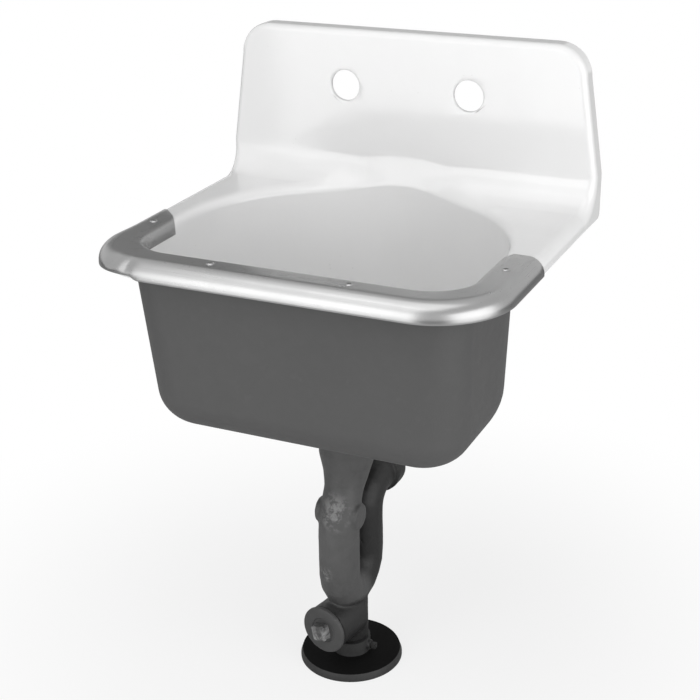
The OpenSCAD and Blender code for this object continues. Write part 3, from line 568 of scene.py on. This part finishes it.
# The cleanout's axis, and how far out along it the painted shadow in the hub's seat begins and is full
HUB_AXIS = (-math.sin(CLEANOUT_TURN), -math.cos(CLEANOUT_TURN), 0.0)
HUB_END = (CLEANOUT_REACH + DRAIN_REACH * math.cos(CLEANOUT_TURN)) * MM
SEAT_SHADOW_FROM, SEAT_SHADOW_TO = HUB_END - 0.0045, HUB_END - 0.003


def trap_painted_shade(f, p):
    """Masks of painted shade on the rear leg and the foot, and of a painted shadow in the hub's seat round
    the plug.
    """
    foot = 1 - f.rise(f.part_of(p, "Z"), FOOT_SHADE_FULL, FOOT_SHADE_NONE)
    rear = f.rise(f.part_of(p, "Y"), LEG_SHADE_NONE, LEG_SHADE_FULL)
    seat_shadow = foot * f.rise(f.along(p, HUB_AXIS), SEAT_SHADOW_FROM, SEAT_SHADOW_TO)
    return f.math("MAXIMUM", foot, rear) * 0.95, seat_shadow


def iron_recipe(f, base, worn, grain, rough=0.5, wear_low=0.60, wear_high=0.72, chips=(), gloss=0.5):
    """Black coated cast iron with a sandy skin, pits, and patches where the coat has gone."""
    p = f.place()
    sand = f.noise(p, 520.0, 4, 0.75)
    lumps = f.noise(p, 70.0, 5, 0.65, 0.4)
    pits = 1 - f.rise(f.cells(p, 120.0), 0.12, 0.30)
    pits = pits * f.rise(f.noise(p, 30.0, 2), 0.55, 0.68)
    patch = f.rise(f.noise(p, 24.0, 6, 0.72, 0.9), wear_low, wear_high)
    speckle = f.rise(f.noise(p, 85.0, 5, 0.7, 0.15), 0.44, 0.60)
    for point, radius in chips:
        near = 1 - f.rise(f.from_point(p, point), radius * 0.35, radius)
        patch = f.math("MAXIMUM", patch, near * speckle)
    dust = f.rise(f.noise(p, 7.0, 3, 0.6), 0.45, 0.75)
    colour = f.blend(lumps, grey(base * 0.75), grey(base * 1.35))
    colour = f.blend(dust * 0.35, colour, grey(base * 2.0))
    # Painted shade: the trap's rear leg and foot are darkened, and lose their worn patches there
    if chips:
        black, seat_shadow = trap_painted_shade(f, p)
        colour = f.blend(black, colour, grey(base * 0.12))
        patch = patch * (1 - black)
    colour = f.blend(patch * (0.35 + sand * 0.65), colour, grey(worn))
    # Painted shadow in the hub's seat round the plug
    if chips:
        colour = f.blend(seat_shadow, colour, grey(0.003))
    return f.shader(Base_Color=colour, Specular_IOR_Level=gloss,
                    Roughness=rough + lumps * 0.18 + patch * 0.12,
                    Normal=f.bump(sand * 0.3 + lumps - pits * 0.7 + patch * 0.25, grain, 0.8))


def metal_recipe(f, shade, rough):
    """Plain metal with turning marks and a little tarnish."""
    p = f.place()
    marks = f.noise(f.mapped(p, (700, 700, 2200)), 1.0, 3, 0.6)
    tarnish = f.noise(p, 60.0, 4, 0.65, 0.5)
    dim = tuple(c * 0.55 for c in shade[:3]) + (1.0,)
    colour = f.blend(f.rise(tarnish, 0.45, 0.75) * 0.7, shade, dim)
    return f.shader(Base_Color=colour, Metallic=1.0, Roughness=rough + tarnish * 0.22 + marks * 0.06,
                    Normal=f.bump(marks, 0.00008, 0.5))


def rubber_recipe(f):
    """Matt black rubber under a little dust."""
    p = f.place()
    dust = f.noise(p, 90.0, 4, 0.7)
    return f.shader(Base_Color=f.blend(dust, grey(0.018), grey(0.045)), Roughness=0.62 + dust * 0.22,
                    Normal=f.bump(f.noise(p, 800.0, 2), 0.00008, 0.5))


def coat_recipe(f):
    """Grey paint on the pressed steel brackets, rubbed at random."""
    p = f.place()
    rub = f.rise(f.noise(p, 48.0, 5, 0.7, 0.6), 0.60, 0.74)
    cloud = f.noise(p, 12.0, 3)
    colour = f.blend(cloud, grey(0.20), grey(0.27))
    return f.shader(Base_Color=f.blend(rub * 0.7, colour, grey(0.45)), Metallic=rub * 0.6,
                    Roughness=0.48 - rub * 0.12 + cloud * 0.08,
                    Normal=f.bump(f.noise(p, 500.0, 3) - rub * 0.3, 0.00012, 0.5))


enamel = finish("white_enamel", enamel_recipe)
paint = finish("grey_casting_paint", paint_recipe)
guard_steel = finish("guard_brushed_steel", brushed_recipe,
                     tone=0.34, rough=0.19, turned=True)
screw_steel = finish("screw_plain_steel", brushed_recipe, tone=0.34, rough=0.22)
hanger_coat = finish("hanger_grey_coat", coat_recipe)
plated = finish("strainer_plated_brass", metal_recipe, shade=(0.62, 0.60, 0.56, 1), rough=0.20)
brass = finish("fastener_brass", metal_recipe, shade=(0.60, 0.47, 0.24, 1), rough=0.28)
trap_iron = finish("trap_black_iron", iron_recipe, base=0.062, worn=0.26, grain=0.0011, rough=0.42,
                   wear_low=0.64, wear_high=0.76, chips=TRAP_CHIPS, gloss=0.35)
flange_iron = finish("flange_black_iron", iron_recipe, base=0.026, worn=0.07, grain=0.0004, rough=0.45,
                     wear_low=0.66, wear_high=0.80, gloss=0.3)
# The flange's flat top: the same iron painted darker, as painted shade
shaded_flange_top = finish("flange_top_painted_shade", iron_recipe,
                    base=0.004, worn=0.012, grain=0.0002, rough=0.7, gloss=0.08)
plug_iron = finish("plug_dark_iron", iron_recipe,
                   base=0.048, worn=0.11, grain=0.0006, rough=0.46, gloss=0.35)
head_iron = finish("plug_head_worn_iron", iron_recipe, base=0.05, worn=0.36, grain=0.0014, rough=0.42,
                   wear_low=0.40, wear_high=0.56, gloss=0.4)
rubber = finish("black_seal_rubber", rubber_recipe)

# The solids that are shown as they are
plain_pieces = {
    "wall_hanger_left": hanger_coat, "wall_hanger_right": hanger_coat, "strainer": plated,
    "strainer_seal": rubber, "strainer_screws": plated, "trap_gasket": rubber, "trap_washers": brass,
    "trap_nuts": brass, "cleanout_washer": rubber, "flange_set_screw": flange_iron}
for name, made in plain_pieces.items():
    nodes[name].data.materials.clear()
    nodes[name].data.materials.append(made)


# The basin: one casting, enamelled inside and painted outside
def basin_rings():
    """Rings from the drain up the bowl, over the rim and back down the outside to the drain."""
    seat_floor = STRAINER_PROUD - (BOWL_H + FLOOR_FALL) - SEAT_H
    seat_r = STRAINER_R + SEAT_GAP
    dish_z = -(BOWL_H + FLOOR_FALL * DISH_FALL_SHARE)
    bowl_floor = bowl_ring(INNER_FACE, 1, BOWL_FLOOR_R, -BOWL_H)
    dish = drain_ring(seat_r + SEAT_LIP_R, dish_z)
    under_z = -(BOWL_H + IRON_T)
    boss_z = under_z - BOSS_H
    under_floor = bowl_ring(OUTER_FACE, 1, BOWL_FLOOR_R + IRON_T, under_z)
    boss_top = drain_ring(BOSS_R, under_z - BOSS_EDGE)
    rings = [drain_ring(DRAIN_R, boss_z), drain_ring(DRAIN_R, seat_floor), drain_ring(seat_r, seat_floor),
             drain_ring(seat_r, dish_z - SEAT_LIP_H), dish]
    rings += [[mix(a, b, k / DISH_N) for a, b in zip(dish, bowl_floor)] for k in range(1, DISH_N)]
    for k in range(FLOOR_N, -1, -1):
        a = math.pi / 2 * k / FLOOR_N
        rings.append(bowl_ring(INNER_FACE, mix(FLOOR_SHARE, 1, math.sin(a)),
                               BOWL_FLOOR_R * (1 - math.cos(a)),
                               -BOWL_H + BOWL_FLOOR_R * (1 - math.sin(a))))
    rings += [per_step(lambda i: mouth_point(i, k / MOUTH_N)) for k in range(MOUTH_N + 1)]
    rings += [per_step(lambda i: skin_point(i, k / SKIN_N)) for k in range(1, SKIN_N + 1)]
    for k in range(1, ROLL_N + 1):
        a = math.pi / 2 * k / ROLL_N
        rings.append(per_step(lambda i: roll_point(
            i, roll_r(i) * (1 - math.cos(a)), roll_r(i) * math.sin(a))))
    rings.append(per_step(lambda i: roll_point(i, lip_drop(i), roll_r(i))))
    enamelled = len(rings) - 1
    rings.append(per_step(lambda i: roll_point(i, lip_drop(i), roll_r(i) - IRON_T)))
    for k in range(ROLL_N, 0, -1):
        a = math.pi / 2 * k / ROLL_N
        rings.append(per_step(lambda i: roll_point(
            i, roll_r(i) - (roll_r(i) - IRON_T) * math.cos(a), (roll_r(i) - IRON_T) * math.sin(a))))
    rings += [per_step(lambda i: under_point(i, k / UNDER_N)) for k in range(UNDER_N + 1)]
    for k in range(FLOOR_N + 1):
        a, r = math.pi / 2 * k / FLOOR_N, BOWL_FLOOR_R + IRON_T
        rings.append(bowl_ring(OUTER_FACE, mix(FLOOR_SHARE, 1, math.sin(a)), r * (1 - math.cos(a)),
                               under_z + r * (1 - math.sin(a))))
    rings += [[mix(a, b, k / DISH_N) for a, b in zip(under_floor, boss_top)] for k in range(1, DISH_N + 1)]
    rings += [drain_ring(BOSS_R, boss_z), rings[0]]
    return rings, enamelled


def bore_faucet_holes(basin):
    """Bores the two holes in the splash back and rounds their edges, as the enamel does."""
    holes = []
    for side in (-1, 1):
        bm = bmesh.new()
        bmesh.ops.create_cone(bm, cap_ends=True, segments=96, radius1=FAUCET_R, radius2=FAUCET_R,
                              depth=2 * BACK_DEPTH)
        in_metres(bm, Matrix.Translation((side * FAUCET_X, -BACK_DEPTH, FAUCET_H))
                  @ Matrix.Rotation(math.pi / 2, 4, "X"))
        holes.append(bm)
    cut(basin, holes)
    bm = bmesh.new()
    bm.from_mesh(basin.data)
    for y, offset in ((-BACK_DEPTH, FAUCET_FRONT_LIP), (-BACK_DEPTH + IRON_T, FAUCET_BACK_LIP)):
        lips = []
        for side in (-1, 1):
            centre = Vector((side * FAUCET_X, y, FAUCET_H - RIM_DROP)) * MM
            lips += [e for e in bm.edges if all(
                abs((v.co - centre).length - FAUCET_R * MM) < 5e-5 and abs(v.co.y - centre.y) < 5e-5
                for v in e.verts)]
        bmesh.ops.bevel(bm, geom=lips, offset=offset * MM, offset_type="OFFSET", segments=4, profile=0.5,
                        affect="EDGES", material=-1)
    bm.to_mesh(basin.data)
    bm.free()


def make_basin():
    rings, enamelled = basin_rings()
    bm = bmesh.new()
    loft(bm, rings, materials=[0 if k < enamelled else 1 for k in range(len(rings))])
    bmesh.ops.remove_doubles(bm, verts=bm.verts, dist=1e-4)
    outward(bm)
    in_metres(bm)
    basin = piece("basin", bm, [enamel, paint], "sink", ["basin_casting"])
    bore_faucet_holes(basin)
    weigh = basin.modifiers.new("Shade", "WEIGHTED_NORMAL")
    weigh.keep_sharp = True
    settle(basin, 32)


def make_lugs():
    """The two hooked lugs on the casting's back, which stand in the brackets' hooks."""
    low = RIM_DROP + HOLE_SPACING / 2 + OVER_HOLES - PLATE_H + HANGER_T
    neck, high = low + HOOK_H + HOOK_GAP, low + LUG_H
    back, skin = -HANGER_T - HOOK_GAP, -BACK_DEPTH + IRON_T / 2
    front = back - LUG_T
    section = [(back, low), (front, low), (front, neck), (skin, neck), (skin, high), (back, high)]
    bm = bmesh.new()
    for side in (-1, 1):
        x = side * HANGER_X - LUG_W / 2
        face = bm.faces.new([bm.verts.new((x, y, z)) for y, z in section])
        made = bmesh.ops.extrude_face_region(bm, geom=[face])["geom"]
        verts = [v for v in made if isinstance(v, bmesh.types.BMVert)]
        bmesh.ops.translate(bm, vec=(LUG_W, 0, 0), verts=verts)
    outward(bm)
    in_metres(bm)
    piece("hanger_lugs", bm, [paint], "sink", sharp=30, modifiers=[
        ("BEVEL", {"width": 1.2 * MM, "segments": 2, "limit_method": "ANGLE"})])


# The rim guard: one sheet that wraps the mouth's edge, the flat and the rolled rim
wall_low = bowl_ring(INNER_FACE, FLOOR_SHARE, 0, -BOWL_H + BOWL_FLOOR_R)
FLAT_END = MOUTH_N + 1 + SKIN_N
GUARD_N = FLAT_END + ROLL_N + 2


def guard_place(i, k, off):
    """Place that far off the iron, at step i round the rim and step k across the sheet."""
    if k == 0:
        share = (GUARD_LEG_H - MOUTH_DROP) / (BOWL_H - BOWL_FLOOR_R - MOUTH_DROP)
        return mix(mouth_point(i, 0), wall_low[i], share) + off * mouth_normal(i, 0)
    if k <= MOUTH_N + 1:
        share = (k - 1) / MOUTH_N
        return mouth_point(i, share) + off * mouth_normal(i, share)
    if k <= FLAT_END:
        return skin_point(i, (k - MOUTH_N - 1) / SKIN_N) + Vector((0, 0, off))
    if k <= FLAT_END + ROLL_N:
        a, r = math.pi / 2 * (k - FLAT_END) / ROLL_N, RIM_ROLL_R + off
        return roll_point(i, RIM_ROLL_R - r * math.cos(a), r * math.sin(a))
    return roll_point(i, GUARD_SKIRT_H, RIM_ROLL_R + off)


def knock(i, k):
    """Knock in the left corner: the skirt stands out at the side and is turned up in front."""
    if rim[i].x >= 0:
        return Vector((0, 0, 0))
    turn = math.degrees(math.atan2(rim[i].y + DECK_REACH - DECK_CORNER_R,
                                   rim[i].x + DECK_HALF - DECK_CORNER_R)) % 360
    depth = clamp((k - FLAT_END + 3) / (GUARD_N - FLAT_END + 2))
    out = smooth(158, 190, turn) * (1 - smooth(236, 262, turn)) * smooth(0, 0.8, depth)
    raised = smooth(212, 245, turn) * (1 - smooth(260, 266, turn)) * smooth(0.45, 1, depth)
    dents = math.exp(-((turn - 241) / 4) ** 2) + math.exp(-((turn - 257) / 3.5) ** 2)
    dents *= smooth(0.3, 0.55, depth) * (1 - smooth(0.75, 0.95, depth))
    n = rim_normals[i] * (KNOCK_OUT * out - DENT_IN * dents)
    return Vector((n.x, n.y, KNOCK_UP * raised - DENT_DOWN * dents))


def make_guard():
    rings = []
    for at, i in enumerate(range(BACK_N + GAP_N, AROUND_N - GAP_N + 1)):
        ring = []
        for k in range(GUARD_N):
            p = guard_place(i, k, GUARD_GAP + GUARD_T)
            # The left arm ends on a slant, which runs out over the straight part of the arm
            p.y -= GUARD_SLANT * clamp(1 - at / SIDE_N) * clamp((FLAT_END + 4 - k) / 12)
            p += knock(i, k)
            p.x = max(p.x, -(DECK_HALF + GUARD_GAP + GUARD_T))
            ring.append(p)
        rings.append(ring)
    bm = bmesh.new()
    loft(bm, rings, closed=False)
    outward(bm)
    middle = min(bm.faces, key=lambda face: (face.calc_center_median() - Vector((0, -470, 2))).length)
    if middle.normal.z < 0:
        bmesh.ops.reverse_faces(bm, faces=bm.faces)
    in_metres(bm)
    piece("guard", bm, [guard_steel], "sink", ["rim_guard"], 40, [
        ("SOLIDIFY", {"thickness": GUARD_T * MM, "offset": -1.0, "use_even_offset": True}),
        ("BEVEL", {"width": 0.35 * MM, "segments": 2, "limit_method": "ANGLE",
                   "angle_limit": math.radians(50)})])


def make_guard_screws():
    """Oval heads with a cross recess, each stopped at its own angle."""
    front_y = -(MOUTH_REACH + DECK_REACH - RIM_ROLL_R) / 2
    side_x, side_y = (MOUTH_HALF + DECK_HALF - RIM_ROLL_R) / 2, -(GUARD_END + SIDE_SCREW_GAP)
    places = [(-FRONT_SCREW_X, front_y, 20), (FRONT_SCREW_X, front_y, 74),
              (-side_x, side_y, 48), (side_x, side_y, 8)]
    low, r = GUARD_GAP + GUARD_T, SCREW_HEAD_R
    bm, slots = bmesh.new(), [bmesh.new(), bmesh.new()]
    for x, y, turn in places:
        section = [(0, low), (r, low), (r, low + 0.3), (r * 0.86, low + 1.1), (r * 0.6, low + 1.75),
                   (r * 0.3, low + 2.1), (0, low + 2.2)]
        turned(bm, section, 48, (x, y))
        for slot, angle in zip(slots, (turn, turn + 90)):
            bmesh.ops.create_cube(slot, size=1, matrix=Matrix.Translation((x, y, low + 1.7))
                                  @ Matrix.Rotation(math.radians(angle), 4, "Z")
                                  @ Matrix.Diagonal((r * 1.25, r * 0.24, 1.8, 1)))
    for shape in (bm, *slots):
        in_metres(shape)
    heads = piece("guard_screw_heads", bm, [screw_steel], "sink", ["rim_guard_screws"])
    cut(heads, slots)


# The trap standard: the CAD solid with the soft fillets of a sand casting
def make_trap():
    bm = bmesh.new()
    bm.from_mesh(nodes["trap_body"].data)
    bmesh.ops.remove_doubles(bm, verts=bm.verts, dist=1e-6)
    trap = piece("trap_standard", bm, [trap_iron], "sink", ["trap_body"], 60, [
        ("REMESH", {"mode": "VOXEL", "voxel_size": 0.0023, "use_smooth_shade": True}),
        ("SMOOTH", {"factor": 0.5, "iterations": 7})])
    verts = trap.data.vertices
    normals = [vert.normal.copy() for vert in verts]
    for vert, normal in zip(verts, normals):
        lump = noise.noise(vert.co * 55) * 0.35 + noise.noise(vert.co * 160) * 0.16
        vert.co += normal * lump * MM


def to_cleanout(out):
    """Place of the cleanout's axis, that far out from the standard's centre line."""
    return (Matrix.Translation((0, -DRAIN_REACH, CLEANOUT_H - RIM_H))
            @ Matrix.Rotation(-CLEANOUT_TURN, 4, "Z") @ Matrix.Rotation(math.pi / 2, 4, "X")
            @ Matrix.Translation((0, 0, out)))


def make_plug_disc():
    """The plug's shank and disc, which has a shallow recess round its head."""
    bm = bmesh.new()
    turned(bm, [(0, -SHANK_L), (SHANK_R - 1, -SHANK_L), (SHANK_R, -SHANK_L + 1), (SHANK_R, 0),
                (DISC_R - 0.8, 0), (DISC_R, 0.8), (DISC_R, DISC_T - 1.6), (DISC_R - 0.5, DISC_T - 0.5),
                (DISC_R - 1.6, DISC_T), (21, DISC_T), (19.5, DISC_T - 1.2), (0, DISC_T - 1.2)])
    for vert in bm.verts:
        if vert.co.z > 0:
            vert.co += vert.co.normalized() * noise.noise(vert.co * 0.16) * 0.25
    in_metres(bm, to_cleanout(CLEANOUT_REACH + WASHER_T))
    piece("plug_disc", bm, [plug_iron], "plug", ["cleanout_plug"], 32)


def make_plug_head():
    """The plug's square head, rounded and chipped by wrenches."""
    bm = bmesh.new()
    bmesh.ops.create_cube(bm, size=1)
    bmesh.ops.scale(bm, vec=(HEAD_W, HEAD_W, HEAD_H + DISC_T / 2), verts=bm.verts)
    bmesh.ops.bevel(bm, geom=bm.edges[:], offset=3.2, offset_type="OFFSET", segments=3, profile=0.5,
                    affect="EDGES", material=-1)
    bmesh.ops.subdivide_edges(bm, edges=bm.edges[:], cuts=4, use_grid_fill=True)
    top = (HEAD_H + DISC_T / 2) / 2
    for vert in bm.verts:
        seed = vert.co * 0.11 + Vector((3.1, 0.7, 5.3))
        chip = smooth(0.05, 0.5, noise.noise(seed)) * smooth(-top, top, vert.co.z)
        rough = 0.9 * noise.noise(vert.co * 0.3) + 0.7 * noise.noise(vert.co * 0.75)
        vert.co -= vert.co.normalized() * (3.6 * chip + rough)
    in_metres(bm, to_cleanout(CLEANOUT_REACH + WASHER_T + DISC_T / 2 + top)
              @ Matrix.Rotation(math.radians(HEAD_TURN), 4, "Z"))
    piece("plug_head", bm, [head_iron], "plug", sharp=60,
          modifiers=[("SUBSURF", {"levels": 1, "render_levels": 1})])


def make_flange():
    """The floor flange, whose flat top is painted darker than its edge as painted shade."""
    bevel = {"width": 1.4 * MM, "segments": 3, "limit_method": "ANGLE", "angle_limit": math.radians(30)}
    flange = piece("foot_flange", merged_copy("floor_flange"), [flange_iron, shaded_flange_top],
                   "foot", ["floor_flange"], 28, [("BEVEL", bevel)])
    top = (FLANGE_T - RIM_DROP - RIM_H) * MM
    # The flat top's faces take the darker finish, which is painted shade
    for face in flange.data.polygons:
        if face.normal.z > 0.99 and abs(face.center.z - top) < 2e-4:
            face.material_index = 1


make_basin()
make_lugs()
make_guard()
make_guard_screws()
make_trap()
make_plug_disc()
make_plug_head()
make_flange()

# Floor, world and lamps
WHITE = (1.0, 1.0, 1.0, 1.0)
FOOT_POINT = (0.0, -DRAIN_REACH * MM, -(RIM_DROP + RIM_H) * MM)


def floor_recipe(f):
    """Pale floor that keeps the shadow but runs into the white behind the object."""
    p = f.place()
    seen = f.node("ShaderNodeLightPath", out="Is Camera Ray")
    matte = f.shader(Base_Color=f.blend(f.noise(p, 1.2, 2), grey(0.84), grey(0.88)), Roughness=0.85)
    bright = f.node("ShaderNodeEmission", values={"Color": WHITE, "Strength": 1.0})
    share = 0.78 + f.rise(f.from_point(p, FOOT_POINT), 0.25, 1.0) * 0.22
    return f.node("ShaderNodeMixShader", values={0: seen * share, 1: matte, 2: bright})


def flat_sheet(name, made, matrix):
    """A flat sheet of the stage, one metre square before the matrix places it."""
    bm = bmesh.new()
    bmesh.ops.create_grid(bm, x_segments=1, y_segments=1, size=0.5, matrix=matrix)
    sheet = to_object(name, bm)
    sheet.data.materials.append(made)
    return sheet


FLOOR_SIZE, UNDER_FOOT = 18.0, 0.0005
flat_sheet("floor", finish("pale_floor", floor_recipe),
           Matrix.Translation((0, 0, FOOT_POINT[2] - UNDER_FOOT))
           @ Matrix.Diagonal((FLOOR_SIZE, FLOOR_SIZE, 1, 1)))

world = bpy.data.worlds.new("studio")
bpy.context.scene.world = world
world.use_nodes = True
sky = Finish(world.node_tree)
seen = sky.node("ShaderNodeLightPath", out="Is Camera Ray")
seen = seen + sky.node("ShaderNodeLightPath", out="Is Glossy Ray")
seen = sky.math("ADD", seen, sky.node("ShaderNodeLightPath", out="Is Transmission Ray"), held=True)
sky.output(sky.node("ShaderNodeBackground", values={"Color": sky.blend(seen, grey(0.21), WHITE)}),
           "ShaderNodeOutputWorld")


def panel(name, centre, target, width, height, radiance):
    """A soft box, as bright as a surface of that radiance."""
    lamp = bpy.data.lights.new(name, "AREA")
    lamp.shape, lamp.size, lamp.size_y = "RECTANGLE", width, height
    lamp.energy = math.pi * width * height * radiance
    obj = bpy.data.objects.new(name, lamp)
    bpy.context.scene.collection.objects.link(obj)
    obj.matrix_world = Matrix.LocRotScale(
        Vector(centre), (Vector(target) - Vector(centre)).to_track_quat("-Z", "Y"), None)
    obj.visible_camera = False


panel("front_left_box", (-0.645, -2.225, 0.0), (-0.05, -0.45, -0.1), 1.33, 1.75, 2.6)
panel("right_box", (1.84, -0.94, 0.05), (0.2, -0.4, -0.1), 2.1, 1.8, 2.3)
panel("front_top_box", (-0.5, -1.65, 1.35), (0, -0.35, -0.1), 1.4, 1.3, 1.5)
panel("overhead_box", (-0.1, -0.7, 2.1), (0, -0.3, 0), 2.2, 1.8, 1.42)


def card_recipe(f):
    return f.shader(Base_Color=grey(0.5), Roughness=0.9)


# A grey card behind the sink, which only the steel and the enamel mirror
card = flat_sheet("grey_card", finish("grey_card", card_recipe),
                  Matrix.Translation((-1.3, 1.4, 0.85)) @ Matrix.Rotation(math.pi / 2, 4, "X")
                  @ Matrix.Diagonal((2.6, 1.5, 1, 1)))
card.visible_camera = card.visible_diffuse = card.visible_shadow = False

# Camera at the photograph's place
YAW, PITCH, ROLL = math.radians(25.29), math.radians(23.42), math.radians(-1.08)
EYE = (0.85037, -2.04426, 0.50809)
FOCAL_PX, PICTURE_PX = 1451.57, 700
forward = Vector((-math.sin(YAW) * math.cos(PITCH), math.cos(YAW) * math.cos(PITCH), -math.sin(PITCH)))
right = Vector((math.cos(YAW), math.sin(YAW), 0))
up = right.cross(forward)
across = math.cos(ROLL) * right + math.sin(ROLL) * up
above = math.cos(ROLL) * up - math.sin(ROLL) * right
camera = bpy.data.objects.new("camera", bpy.data.cameras.new("camera"))
bpy.context.scene.collection.objects.link(camera)
camera.data.sensor_width = 36.0
camera.data.lens = FOCAL_PX / PICTURE_PX * camera.data.sensor_width
turn = Matrix((across, above, -forward)).transposed()
camera.matrix_world = Matrix.Translation(EYE) @ turn.to_4x4()
bpy.context.scene.camera = camera
bpy.context.scene.view_settings.view_transform = "Standard"

bpy.context.view_layer.update()
